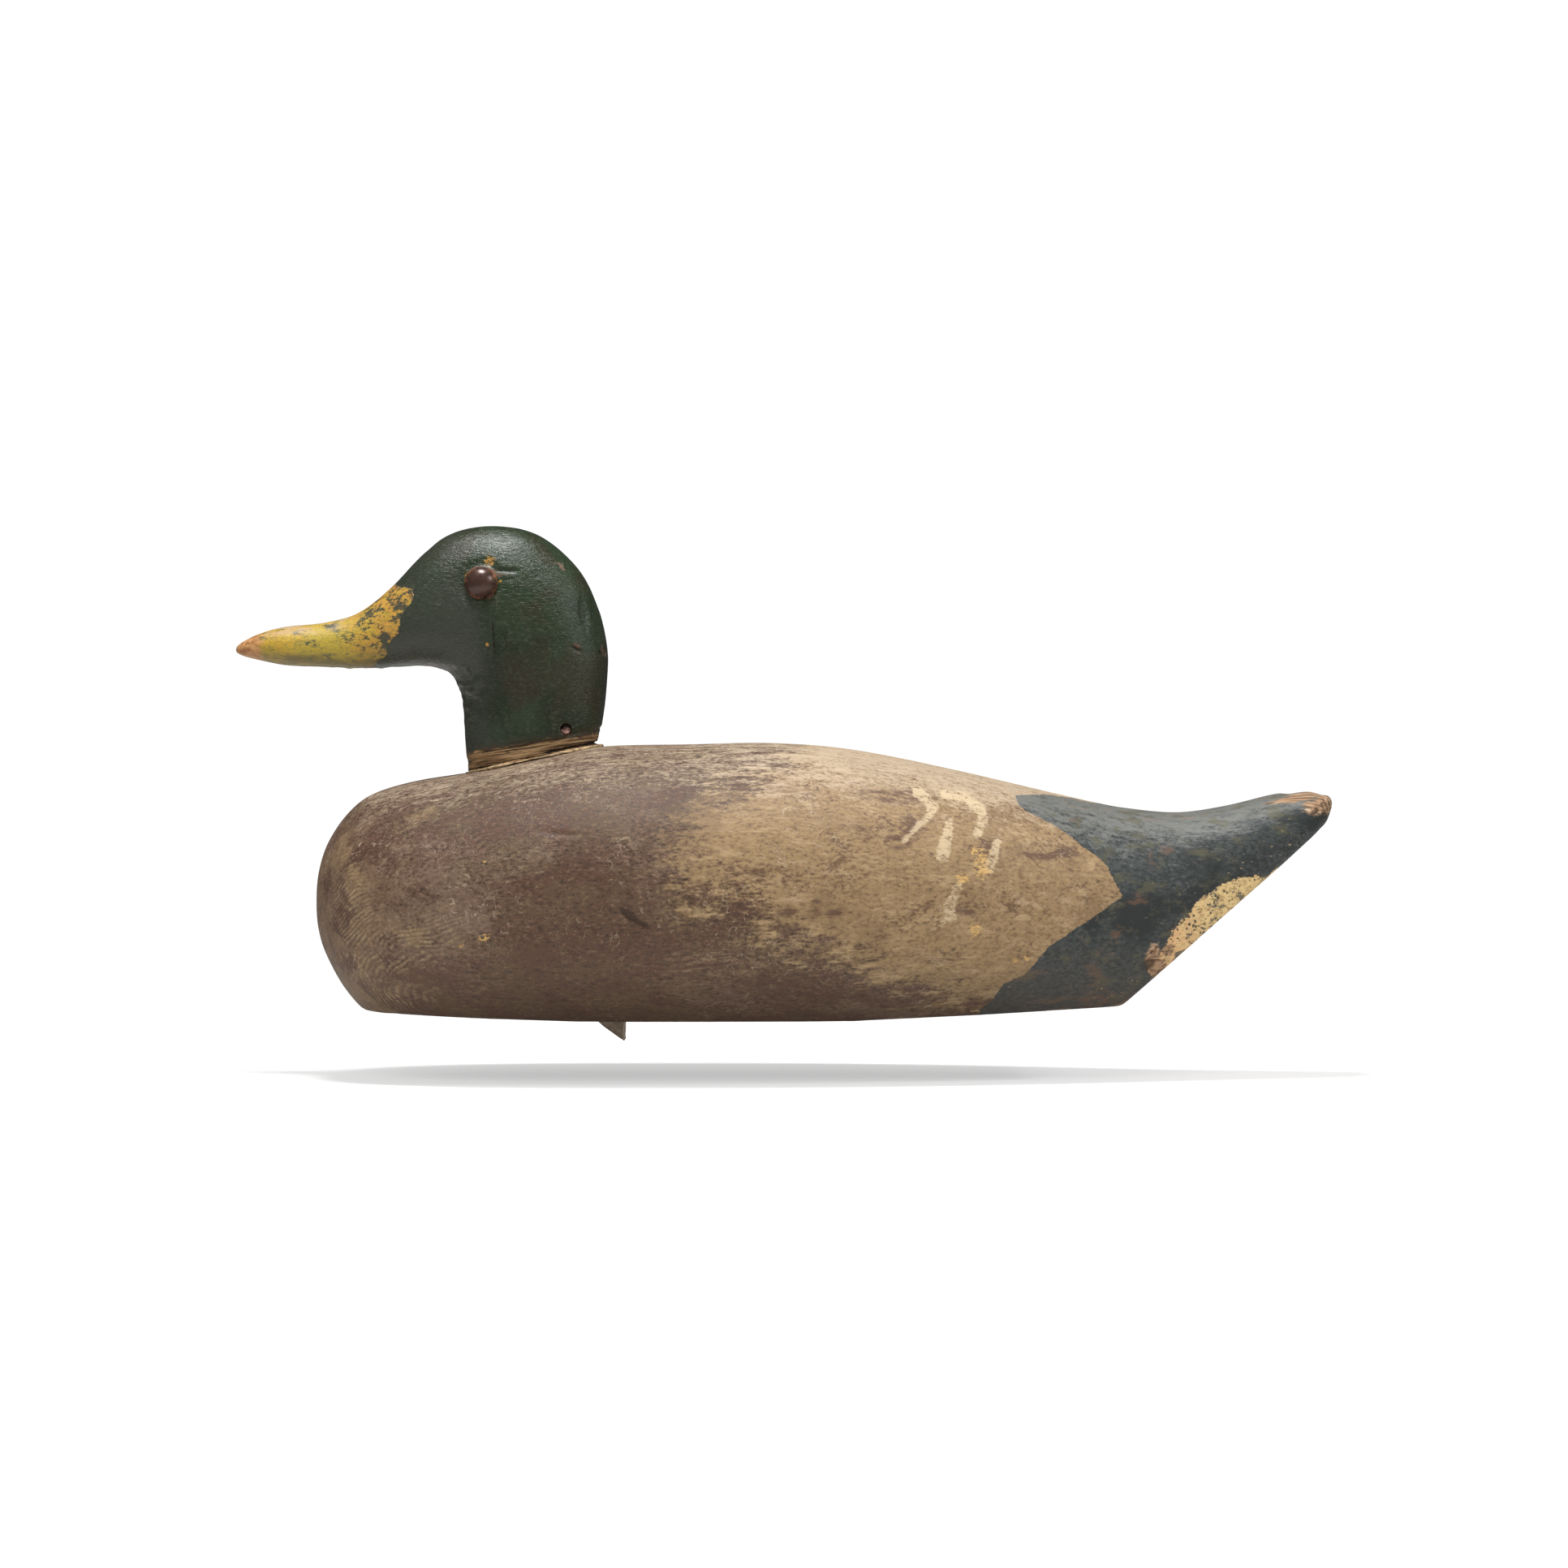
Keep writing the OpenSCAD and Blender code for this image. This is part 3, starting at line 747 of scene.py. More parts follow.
    def navy_coat(self, n: Nodes, place: Socket, cloud: Socket, brush: Socket, mottle: Socket,
                  hair: Socket) -> Socket:
        """The blue-black of the rump, rubbed grey on top and painted paler there as top sheen, with brown patches and
        pale flecks.
        """
        navy = n.mix(n.ease(mottle, 0.38, 0.60), self.navy_dark, self.navy)
        navy = n.mix(n.ease(cloud, 0.52, 0.42), navy, self.navy_dark)
        level = n.math("MULTIPLY_ADD", n.math("SUBTRACT", mottle, 0.5), 0.7, brush)
        # Painted top sheen: upward faces paler, along with the rubbed grey.
        level = n.math("MULTIPLY_ADD", n.ease(n.field("up"), 0.2, 1.0), 0.40, level)
        navy = n.mix(n.math("MULTIPLY", n.ease(level, 0.56, 0.92), 0.95), navy, self.navy_pale)
        # Rubbed haze on the topmost faces, partly painted top sheen.
        rubbed = n.math("MULTIPLY", n.ease(n.field("up"), 0.75, 1.0), n.ease(brush, 0.52, 0.64))
        navy = n.mix(n.math("MULTIPLY", rubbed, 0.7), navy, self.haze)
        patches = n.math("MULTIPLY_ADD", n.math("SUBTRACT", brush, 0.5), 4.5, n.field("rust_patches"))
        navy = n.mix(n.math("MULTIPLY", n.ease(patches, 0.25, 0.9), 0.7), navy, self.rust_brown)
        mossy = n.noise(n.stretched(place, (90, 150, 150), shift=(1.3, 0, 0)), detail=5, rough=0.7)
        navy = n.mix(n.math("MULTIPLY", n.ease(mossy, 0.52, 0.64), 0.65), navy, self.moss)
        light = n.group(self.effects.flecks, Vector=n.stretched(place, (0.55, 1, 1)), Scale=560.0, Size=0.27,
                        Amount=0.60).outputs["Fleck"]
        navy = n.mix(n.math("MULTIPLY", light, 0.5), navy, self.tan_pale)
        navy = n.mix(n.math("MULTIPLY", n.ease(mottle, 0.63, 0.72), 0.45), navy, self.haze)
        return n.mix(n.math("MULTIPLY", hair, 0.4), navy, self.haze)

    def cream_coat(self, n: Nodes, place: Socket, mottle: Socket) -> Socket:
        """The cream under the tail, spattered with dark green-black."""
        cream = n.mix(n.ease(mottle, 0.36, 0.56), self.cream_dark, self.cream)
        chipped = n.noise(n.stretched(place, (210, 240, 240)), detail=6, rough=0.75)
        warm = n.math("MULTIPLY", n.ease(n.parts(place)[0], 0.188, 0.170), n.ease(chipped, 0.40, 0.52))
        cream = n.mix(warm, cream, self.peach)
        cream = n.mix(n.math("MULTIPLY", n.ease(chipped, 0.55, 0.60), 0.85), cream, self.navy)
        spots = n.group(self.effects.flecks, Vector=place, Scale=560.0, Size=0.52, Amount=0.80)
        return n.mix(n.math("MULTIPLY", spots.outputs["Fleck"], 0.85), cream, self.navy_dark)


@dataclass(frozen=True)
class HeadPaint(Finish):
    """Glossier wrinkled paint on the head: dark green gone brown and black, and a mustard bill, with painted shade in
    its hollows.
    """

    green: Rgb = (0.009, 0.015, 0.005)
    green_light: Rgb = (0.016, 0.028, 0.012)
    black: Rgb = (0.031, 0.036, 0.026)
    brown: Rgb = (0.022, 0.018, 0.008)
    slate: Rgb = (0.050, 0.058, 0.034)
    mustard: Rgb = (0.390, 0.245, 0.024)
    lemon: Rgb = (0.350, 0.255, 0.028)
    olive: Rgb = (0.120, 0.115, 0.045)
    orange: Rgb = (0.420, 0.215, 0.035)
    bare: Rgb = (0.240, 0.140, 0.062)
    bare_dark: Rgb = (0.030, 0.017, 0.008)
    bare_pale: Rgb = (0.430, 0.300, 0.170)
    rust: Rgb = (0.130, 0.075, 0.048)
    shadow: Rgb = (0.008, 0.006, 0.004)

    def make(self) -> bpy.types.Material:
        """Builds the material."""
        material, n, shader = self.new()
        place = n.place()
        proud = n.field("proud")
        cloud = n.noise(n.stretched(place, (40, 40, 40)), detail=4, rough=0.6, warp=0.4)
        brush = n.noise(n.stretched(place, (110, 420, 420)), detail=5, rough=0.65)
        mottle = n.noise(n.stretched(place, (600, 900, 900)), detail=4, rough=0.72)
        wrinkle = n.noise(n.stretched(place, (480, 560, 1250)), detail=4, rough=0.62, warp=0.6)

        green = self.green_coat(n, place, cloud, brush, mottle)
        edge = n.group(self.effects.edge, Vector=place, Inside=n.field("bill"), Ragged=0.80, Softness=0.25)
        colour = n.mix(edge.outputs["Mask"], green, self.bill_coat(n, place, cloud, brush, mottle))

        ochre = n.ease(n.math("MULTIPLY_ADD", n.math("SUBTRACT", mottle, 0.5), 4.5, n.field("ochre")), 0.2, 0.7)
        colour = n.mix(n.math("MULTIPLY", ochre, 0.72), colour, self.orange)
        chips = n.ease(n.math("MULTIPLY_ADD", n.math("SUBTRACT", brush, 0.5), 4.0, n.field("chips")), 0.3, 0.9)
        colour = n.mix(n.math("MULTIPLY", chips, 0.75), colour, self.rust)

        foot = n.field("foot")
        edge_wave = n.math("MULTIPLY", n.math("SUBTRACT", brush, 0.5), 7.0)
        raw = n.ease(n.math("ADD", foot, edge_wave), 6.6, 5.9)
        x, y, z = n.parts(place)
        layers = n.add("ShaderNodeCombineXYZ", {0: n.math("MULTIPLY", x, 60), 1: n.math("MULTIPLY", y, 60),
                                                2: n.math("MULTIPLY", foot, 1.5)}).outputs[0]
        strands = n.noise(layers, detail=5, rough=0.62)
        torn = n.mix(n.ease(strands, 0.38, 0.56), self.bare_dark, self.bare)
        torn = n.mix(n.ease(strands, 0.56, 0.70), torn, self.bare_pale)
        colour = n.mix(raw, colour, torn)
        # Darker just above the torn foot of the neck.
        darkened_above_foot = n.math("MULTIPLY", n.ease(foot, 9.6, 6.0), n.ease(brush, 0.42, 0.60))
        colour = n.mix(n.math("MULTIPLY", n.math("MULTIPLY", darkened_above_foot, n.math("SUBTRACT", 1.0, raw)), 0.7), colour,
                       (0.075, 0.040, 0.022))
        # Painted shade: the colour darkened towards the shadow colour in the hollows of the carving.
        painted_hollow_shade = n.ease(n.math("MULTIPLY", proud, -1.0), 0.08, 0.30)
        colour = n.mix(n.math("MULTIPLY", painted_hollow_shade, 0.9), colour, self.shadow)
        n.feed(shader.inputs["Base Color"], colour)

        rough = n.blend(n.ease(mottle, 0.35, 0.65), 0.27, 0.42)
        rough = n.blend(edge.outputs["Mask"], rough, 0.50)
        n.feed(shader.inputs["Roughness"], n.blend(n.math("MAXIMUM", raw, chips), rough, 0.8))

        relief = n.math("MULTIPLY_ADD", mottle, 0.5, wrinkle)
        relief = n.math("MULTIPLY_ADD", edge.outputs["Mask"], 0.4, relief)
        relief = n.math("MULTIPLY_ADD", n.math("MULTIPLY", strands, raw), 1.6, relief)
        n.feed(shader.inputs["Normal"], n.bump(relief, 0.00034, 0.9))
        return material

    def green_coat(self, n: Nodes, place: Socket, cloud: Socket, brush: Socket, mottle: Socket) -> Socket:
        """The green of the head, sooty in front and brown where it has gone thin."""
        green = n.mix(n.ease(cloud, 0.40, 0.60), self.green, self.green_light)
        umber = n.noise(n.stretched(place, (60, 40, 50), shift=(0.2, 0, 0)), detail=4, rough=0.6)
        umber = n.ease(n.math("ADD", umber, n.math("MULTIPLY", n.field("umber"), 0.14)), 0.50, 0.66)
        green = n.mix(n.math("MULTIPLY", umber, 0.75), green, self.brown)
        green = n.mix(n.math("MULTIPLY", n.ease(n.field("sooty"), 0.1, 1.0), 0.85), green, self.black)
        green = n.mix(n.math("MULTIPLY", n.ease(mottle, 0.50, 0.68), 0.50), green, self.slate)
        film = n.group(self.effects.flecks, Vector=n.stretched(place, (0.5, 1, 1)), Scale=620.0, Size=0.30, Amount=0.56)
        green = n.mix(n.math("MULTIPLY", film.outputs["Fleck"], 0.65), green, self.slate)
        hair = n.group(self.effects.hairs, Vector=place, Scale=240.0, Amount=0.5).outputs["Line"]
        green = n.mix(n.math("MULTIPLY", hair, 0.35), green, self.slate)
        rubbed = n.math("MULTIPLY", n.ease(n.field("proud"), 0.10, 0.3), n.ease(brush, 0.50, 0.62))
        return n.mix(n.math("MULTIPLY", rubbed, 0.6), green, self.rust)

    def bill_coat(self, n: Nodes, place: Socket, cloud: Socket, brush: Socket, mottle: Socket) -> Socket:
        """The mustard of the bill, crackled and olive in places, orange by its edge and bare at its tip, with painted
        sheen on top and painted shade beneath.
        """
        yellow = n.mix(n.ease(cloud, 0.44, 0.58), self.mustard, self.lemon)
        yellow = n.mix(n.math("MULTIPLY", n.field("bill_warm"), n.ease(brush, 0.35, 0.55)), yellow, self.orange)
        crackle = n.cells(n.stretched(place, (420, 560, 560)), 1.0, feature="DISTANCE_TO_EDGE")
        crackle = n.math("MULTIPLY", n.ease(crackle, 0.10, 0.02), n.ease(mottle, 0.38, 0.52))
        yellow = n.mix(n.math("MULTIPLY", crackle, 0.45), yellow, self.olive)
        scuff = n.noise(n.stretched(place, (150, 300, 300), shift=(0.3, 0, 0)), detail=6, rough=0.75)
        yellow = n.mix(n.math("MULTIPLY", n.ease(scuff, 0.51, 0.61), 0.80), yellow, self.olive)
        dark = n.math("MULTIPLY_ADD", n.field("bill_edge"), 0.10, n.math("MULTIPLY_ADD", mottle, 0.5, scuff))
        yellow = n.mix(n.math("MULTIPLY", n.ease(dark, 0.81, 0.89), 0.9), yellow, self.black)
        # Painted sheen: the bill's upward faces towards its front made pale grey-beige.
        pale = n.math("MULTIPLY", n.ease(n.field("up"), 0.45, 0.95), n.ease(brush, 0.44, 0.60))
        yellow = n.mix(n.math("MULTIPLY", n.math("MULTIPLY", pale, n.field("bill_fore")), 0.8), yellow,
                       (0.36, 0.265, 0.180))
        # Painted shade: the bill's downward faces darkened.
        under = n.math("MULTIPLY", n.ease(n.field("up"), -0.25, -0.75), n.ease(brush, 0.40, 0.56, 0.5, 1.0))
        yellow = n.mix(n.math("MULTIPLY", under, 0.85), yellow, (0.110, 0.090, 0.036))
        tip = n.ease(n.math("MULTIPLY_ADD", n.math("SUBTRACT", brush, 0.5), 3.0, n.field("bill_tip")), 0.1, 0.7)
        wood = n.mix(n.ease(brush, 0.4, 0.6), (0.26, 0.110, 0.035), (0.47, 0.245, 0.095))
        return n.mix(tip, yellow, wood)


@dataclass(frozen=True)
class OldIron(Finish):
    """Rusted iron of nails and tacks, darker or redder."""

    metal: Rgb = (0.060, 0.042, 0.034)
    rust: Rgb = (0.190, 0.080, 0.040)
    scale: float = 500.0
    shine: float = 0.45

    def make(self) -> bpy.types.Material:
        """Builds the material."""
        material, n, shader = self.new()
        place = n.place()
        bloom = n.group(self.effects.rust, Vector=place, Scale=self.scale)
        speck = n.noise(n.stretched(place, (2600, 2600, 2600)), detail=3, rough=0.7)
        colour = n.mix(bloom.outputs["Bloom"], self.metal, self.rust)
        colour = n.mix(n.math("MULTIPLY", n.ease(speck, 0.55, 0.75), 0.5), colour, self.metal)
        n.feed(shader.inputs["Base Color"], colour)
        n.feed(shader.inputs["Metallic"], n.ease(bloom.outputs["Bloom"], 0.0, 0.6, 0.55, 0.0))
        n.feed(shader.inputs["Roughness"], n.blend(bloom.outputs["Bloom"], self.shine, 0.85))
        relief = n.math("ADD", n.math("MULTIPLY", bloom.outputs["Bloom"], 0.6),
                        n.math("MULTIPLY", bloom.outputs["Pits"], 0.5))
        n.feed(shader.inputs["Normal"], n.bump(n.math("ADD", relief, speck), 0.00008, 0.8))
        return material


@dataclass(frozen=True)
class EyeJapan(Finish):
    """Brown japanning on the eye tacks, glossy on the crown and rusted towards the rim."""

    crown: Rgb = (0.072, 0.036, 0.025)
    shade: Rgb = (0.040, 0.022, 0.018)
    rust: Rgb = (0.200, 0.075, 0.030)

    def make(self) -> bpy.types.Material:
        """Builds the material."""
        material, n, shader = self.new()
        place = n.place()
        bloom = n.group(self.effects.rust, Vector=place, Scale=300.0)
        speck = n.noise(n.stretched(place, (3200, 3200, 3200)), detail=3, rough=0.7)
        rim = n.field("rim")
        colour = n.mix(n.math("MULTIPLY_ADD", bloom.outputs["Bloom"], 0.5, 0.25), self.shade, self.crown)
        rusty = n.ease(n.math("MULTIPLY_ADD", n.math("SUBTRACT", bloom.outputs["Bloom"], 0.5), 0.4, rim), 0.62, 1.1)
        colour = n.mix(n.math("MULTIPLY", rusty, 0.75), colour, self.rust)
        colour = n.mix(n.ease(speck, 0.62, 0.72), colour, self.shade)
        n.feed(shader.inputs["Base Color"], colour)
        n.feed(shader.inputs["Metallic"], n.ease(rusty, 0.0, 1.0, 0.35, 0.0))
        n.feed(shader.inputs["Roughness"], n.blend(rusty, n.blend(bloom.outputs["Bloom"], 0.24, 0.36), 0.7))
        relief = n.math("ADD", n.math("MULTIPLY", bloom.outputs["Bloom"], 0.3), speck)
        n.feed(shader.inputs["Normal"], n.bump(relief, 0.00004, 0.5))
        return material


@dataclass(frozen=True)
class DullLead(Finish):
    """Cast lead gone grey, brighter where it is scraped."""

    grey: Rgb = (0.130, 0.135, 0.140)
    bloom: Rgb = (0.300, 0.300, 0.290)

    def make(self) -> bpy.types.Material:
        """Builds the material."""
        material, n, shader = self.new()
        place = n.place()
        cloud = n.noise(n.stretched(place, (90, 90, 90)), detail=5, rough=0.65)
        scratch = n.noise(n.stretched(place, (70, 1400, 1400), turn=(0, 0, 0.5)), detail=3)
        colour = n.mix(n.ease(cloud, 0.38, 0.66), self.grey, self.bloom)
        colour = n.mix(n.math("MULTIPLY", n.ease(scratch, 0.60, 0.72), 0.6), colour, (0.42, 0.43, 0.44))
        n.feed(shader.inputs["Base Color"], colour)
        n.feed(shader.inputs["Metallic"], n.ease(cloud, 0.4, 0.7, 0.7, 0.15))
        n.feed(shader.inputs["Roughness"], n.ease(cloud, 0.3, 0.7, 0.45, 0.75))
        n.feed(shader.inputs["Normal"], n.bump(n.math("ADD", cloud, scratch), 0.0002, 0.7))
        return material


@dataclass(frozen=True)
class StrapLeather(Finish):
    """Stiff weathered leather, with its pale cut edges."""

    dark: Rgb = (0.290, 0.220, 0.150)
    mid: Rgb = (0.520, 0.430, 0.330)
    pale: Rgb = (0.740, 0.650, 0.530)

    def make(self) -> bpy.types.Material:
        """Builds the material."""
        material, n, shader = self.new()
        place = n.place()
        grain = n.cells(n.stretched(place, (1500, 1500, 1500)), 1.0)
        cloud = n.noise(n.stretched(place, (160, 160, 160)), detail=5, rough=0.65)
        crack = n.noise(n.stretched(place, (260, 900, 500)), detail=4, rough=0.7)
        colour = n.mix(n.ease(cloud, 0.35, 0.65), self.dark, self.mid)
        colour = n.mix(n.math("MULTIPLY", n.ease(crack, 0.56, 0.7), 0.5), colour, self.pale)
        cut = n.ease(n.math("MULTIPLY_ADD", n.math("SUBTRACT", crack, 0.5), 0.5, n.field("cut_edge")), 0.45, 0.7)
        colour = n.mix(n.math("MULTIPLY", cut, 0.85), colour, self.pale)
        n.feed(shader.inputs["Base Color"], colour)
        n.feed(shader.inputs["Roughness"], n.ease(cloud, 0.3, 0.7, 0.6, 0.8))
        relief = n.math("ADD", n.math("MULTIPLY", grain, 0.6), crack)
        n.feed(shader.inputs["Normal"], n.bump(relief, 0.00025, 0.8))
        return material


@dataclass(frozen=True)
class BareWood(Finish):
    """Bare or puttied wood, pale or dirty."""

    light: Rgb = (0.480, 0.330, 0.180)
    dark: Rgb = (0.240, 0.145, 0.070)
    along: Point = (90, 1500, 1500)

    def make(self) -> bpy.types.Material:
        """Builds the material."""
        material, n, shader = self.new()
        place = n.place()
        strand = n.noise(n.stretched(place, self.along), detail=4, rough=0.6)
        cloud = n.noise(n.stretched(place, (200, 200, 200)), detail=4, rough=0.65)
        colour = n.mix(n.ease(strand, 0.35, 0.65), self.dark, self.light)
        colour = n.mix(n.math("MULTIPLY", n.ease(cloud, 0.5, 0.72), 0.7), colour, self.dark)
        n.feed(shader.inputs["Base Color"], colour)
        n.feed(shader.inputs["Roughness"], n.ease(cloud, 0.3, 0.7, 0.65, 0.85))
        n.feed(shader.inputs["Normal"], n.bump(n.math("ADD", strand, cloud), 0.0003, 0.8))
        return material


# ---- carving ----------------------------------------------------------------------------


def faired(rows: tuple[Point, ...], steps: int) -> np.ndarray:
    """Rows of numbers joined by a smooth curve.

    Args:
        rows: The rows that the curve runs through.
        steps: How many rows to make from each one to the next.

    Returns:
        The rows along the curve.
    """
    given = np.array(rows, float)
    padded = np.vstack([given[:1], given, given[-1:]])
    out = []
    for i in range(len(given) - 1):
        a, b, c, d = padded[i : i + 4]
        for t in np.arange(steps) / steps:
            curve = 2 * b + (c - a) * t + (2 * a - 5 * b + 4 * c - d) * t**2 + (3 * b - a - 3 * c + d) * t**3
            out.append(curve / 2)
    return np.array([*out, given[-1]])


def oval(square: float, sides: int) -> tuple[np.ndarray, np.ndarray]:
    """The two coordinates of a superellipse's points, each from -1 to 1."""
    angle = np.arange(sides) * 2 * math.pi / sides
    cosine, sine = np.cos(angle), np.sin(angle)
    power = 2 / square
    return np.sign(cosine) * np.abs(cosine) ** power, np.sign(sine) * np.abs(sine) ** power


def drawn_out(name: str, rings: np.ndarray) -> bpy.types.Object:
    """A ball drawn out along a row of sections, with a pole in the middle of the first and the last.

    Args:
        name: The piece's name.
        rings: The sections' points, by section, side and coordinate, in millimetres.

    Returns:
        The closed piece.
    """
    count, sides = rings.shape[:2]
    bpy.ops.object.select_all(action="DESELECT")
    bpy.ops.mesh.primitive_uv_sphere_add(segments=sides, ring_count=count + 1, radius=1)
    ball = fresh(name)
    unit = points_of(ball) * MM
    row = np.rint(np.arccos(np.clip(unit[:, 2], -1, 1)) / math.pi * (count + 1)).astype(int)
    column = np.rint(np.arctan2(unit[:, 1], unit[:, 0]) / (2 * math.pi) * sides).astype(int) % sides
    poles = np.repeat(rings[[0, -1]].mean(1)[:, None], sides, axis=1)
    stack = np.concatenate([poles[:1], rings, poles[1:]])
    set_points(ball, stack[row, column])
    in_edit_mode(ball)
    close_edit()
    return ball


@dataclass
class Carving:
    """A carved piece of wood: how finely it is meshed, and which way its surface lies."""

    name: str
    stencil: Stencil
    voxel: float

    def evened(self, piece: bpy.types.Object) -> None:
        """Gives the piece a mesh of even small squares, its cuts slightly softened."""
        with_modifier(piece, "REMESH", mode="VOXEL", voxel_size=self.voxel * MM, adaptivity=0)
        with_modifier(piece, "SMOOTH", factor=0.5, iterations=3)

    def lay_of(self, piece: bpy.types.Object, turns: int) -> np.ndarray:
        """How far each point stands proud of its surroundings, in millimetres."""
        points = points_of(piece)
        gap = points - relaxed(points, edges_of(piece), turns)
        return np.sum(gap * normals_of(piece), axis=1)

    def finished(self, piece: bpy.types.Object, finish: bpy.types.Material, slot: str, *nodes: str) -> None:
        """Gives the piece its finish and its place on the frame."""
        piece.data.materials.clear()
        piece.data.materials.append(finish)
        smooth_shaded(piece, 60)
        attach(piece, Body.DECOY.value)
        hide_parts(*nodes)
        log.info("%s: %d faces", piece.name, len(piece.data.polygons))


@dataclass
class BodyCarving(Carving):
    """The solid body, sawn flat below and under the tail, with pockets for the lead and the leather."""

    beam: float = 148.0
    square: float = 2.35
    sides: int = 128
    steps: int = 8
    lines: tuple[Point, ...] = (
        (-152.4, 45.0, 41.5, 0.03), (-151.4, 55.5, 32.6, 0.20), (-148.0, 66.5, 22.6, 0.36),
        (-140.5, 77.7, 9.6, 0.54), (-131.0, 85.3, 0.5, 0.67), (-115.0, 90.2, -5.5, 0.81),
        (-94.0, 93.6, -8.0, 0.92), (-70.0, 98.7, -8.0, 0.985), (-44.0, 103.4, -8.0, 1.0),
        (-10.0, 104.2, -8.0, 1.0), (22.0, 104.7, -8.0, 0.985), (52.0, 102.2, -8.0, 0.93),
        (89.0, 94.9, -8.0, 0.82), (120.0, 87.7, -8.0, 0.69), (145.0, 82.0, -6.0, 0.57),
        (157.5, 79.8, -2.0, 0.51), (176.0, 78.3, 12.0, 0.43), (194.5, 80.8, 28.0, 0.36),
        (213.0, 85.2, 46.5, 0.30), (225.4, 86.7, 62.0, 0.245), (232.0, 85.6, 72.8, 0.17),
        (235.0, 83.4, 79.6, 0.05),
    )
    flat_half: float = 50.0
    fore_rise: float = 2.0
    aft_rise: float = 2.8
    tail_rise: float = 41.0
    tail_cut_x: float = 147.2
    pocket_room: float = 0.6
    rump: tuple[Point, ...] = (
        (114.0, 84.6), (115.4, 80.6), (118.5, 78.3), (124.0, 75.6), (129.4, 72.7), (136.0, 68.4), (140.2, 64.4),
        (146.5, 60.4), (149.5, 57.2), (152.4, 51.0), (155.2, 46.0), (141.0, 36.0), (127.0, 26.6), (117.6, 15.8),
        (109.6, 12.2), (105.6, 6.4), (100.5, 2.6), (99.0, -20), (260, -20), (260, 130), (158, 130), (150.0, 80.8),
        (140.0, 82.4), (128.0, 84.8),
    )
    flank: tuple[Point, ...] = (
        (28, 130), (24, 100), (4, 84), (-16, 63), (-8, 47), (12, 40), (36, 30), (64, 16), (106, 3), (110, -20),
        (300, -20), (300, 130),
    )
    under_tail: tuple[Point, ...] = (
        (211.0, 53.6), (205.0, 53.4), (199.0, 52.6), (193.0, 49.8), (186.0, 45.4), (181.0, 40.6), (176.6, 36.0),
        (172.7, 29.6), (170.0, 25.0), (167.4, 24.4), (165.0, 23.6), (164.6, 16.8), (172.0, 14.0), (214.0, 50.0),
    )
    flicks: tuple[Stroke, ...] = (
        Stroke(((77.0, 85.6), (80.4, 83.2), (82.8, 79.6), (80.6, 76.2), (76.0, 71.6), (71.8, 67.4)), 4.4, 1.9),
        Stroke(((87.6, 84.8), (92.5, 84.2), (97.4, 82.0), (101.4, 78.6), (101.8, 74.6), (99.6, 70.0)), 4.2, 3.4),
        Stroke(((88.9, 74.2), (87.8, 69.0), (86.4, 61.6)), 3.0, 5.4),
        Stroke(((107.4, 66.8), (105.8, 61.6), (104.2, 56.6)), 2.8, 4.6),
        Stroke(((92.6, 50.4), (90.6, 45.6), (88.6, 41.4)), 3.0, 4.2),
        Stroke(((90.2, 38.2), (86.0, 35.2), (81.2, 32.8)), 3.2, 1.4),
    )
    faded_below: float = 66.0
    gold: tuple[Spot, ...] = (
        Spot(101.8, 58.4, 5.4, 10.0, -8), Spot(94.2, 52.9, 5.0, 3.8, 20), Spot(99.1, 32.5, 4.2, 5.6, -15),
        Spot(98.6, 63.0, 3.2, 3.6), Spot(114.0, 21.4, 1.8, 1.6), Spot(118.5, 22.6, 1.8, 2.8), Spot(102.6, 30.4, 1.5, 1.5),
        Spot(-89.0, 30.2, 4.0, 2.4, 10), Spot(-97.5, 27.1, 2.6, 1.6), Spot(-89.0, 58.6, 1.6, 1.8),
        Spot(139.6, 75.0, 1.6, 1.6), Spot(133.0, 75.2, 3.4, 1.4, -10),
    )
    bare_spots: tuple[Spot, ...] = (
        Spot(-103.5, 41.5, 17, 7, 8), Spot(-139.5, 56, 11, 24, 8), Spot(-131, 8, 26, 13, -30), Spot(-115, 76, 14, 7, 15),
        Spot(-120, 26, 34, 14, 35), Spot(-16, 50, 30, 4, 0),
    )
    ridged_spots: tuple[Spot, ...] = (
        Spot(-138, 34, 22, 56, 10), Spot(-118, 26, 54, 22, 22), Spot(-126, 8, 44, 16, -4), Spot(0, 19, 90, 20, -2),
    )
    stains: tuple[Spot, ...] = (
        Spot(74.0, 71.0, 26, 12, 40), Spot(68.0, 84.5, 34, 7, -5), Spot(104.0, 64.0, 10, 12, 60),
        Spot(128.0, 62.0, 30, 6, 4), Spot(28.0, 39.5, 10, 7), Spot(38.0, 41.0, 6, 8), Spot(62.0, 30.5, 8, 5),
        Spot(98.0, 42.0, 18, 8, 0), Spot(46.0, 40.0, 12, 5, 15), Spot(-141.0, 20.0, 14, 12, 30),
        Spot(-112.0, 15.0, 34, 10, 10), Spot(-71.0, 37.9, 22, 8, 0), Spot(-71.0, 23.0, 22, 9, 0),
        Spot(-142.0, 40.0, 12, 12, 0),
    )
    rust_patches: tuple[Spot, ...] = (
        Spot(160.4, 44.2, 13, 8, 25), Spot(152.6, 31.8, 11, 10, 30), Spot(145.6, 16.4, 12, 22, 10),
        Spot(172.7, 62.8, 11, 6, 0), Spot(143.0, 6.4, 60, 6, 2), Spot(121.0, 16.4, 18, 7, 8),
        Spot(166.0, 59.0, 6, 9), Spot(138.0, 75.6, 8, 4),
    )
    raw_spots: tuple[Spot, ...] = (
        Spot(233.0, 81.8, 19, 9, 14), Spot(222.0, 83.6, 24, 4.0, 10), Spot(216.0, 86.8, 22, 2.4, 6),
        Spot(167.6, 20.8, 8, 15, 12), Spot(172.0, 24.6, 8, 5, 40),
    )
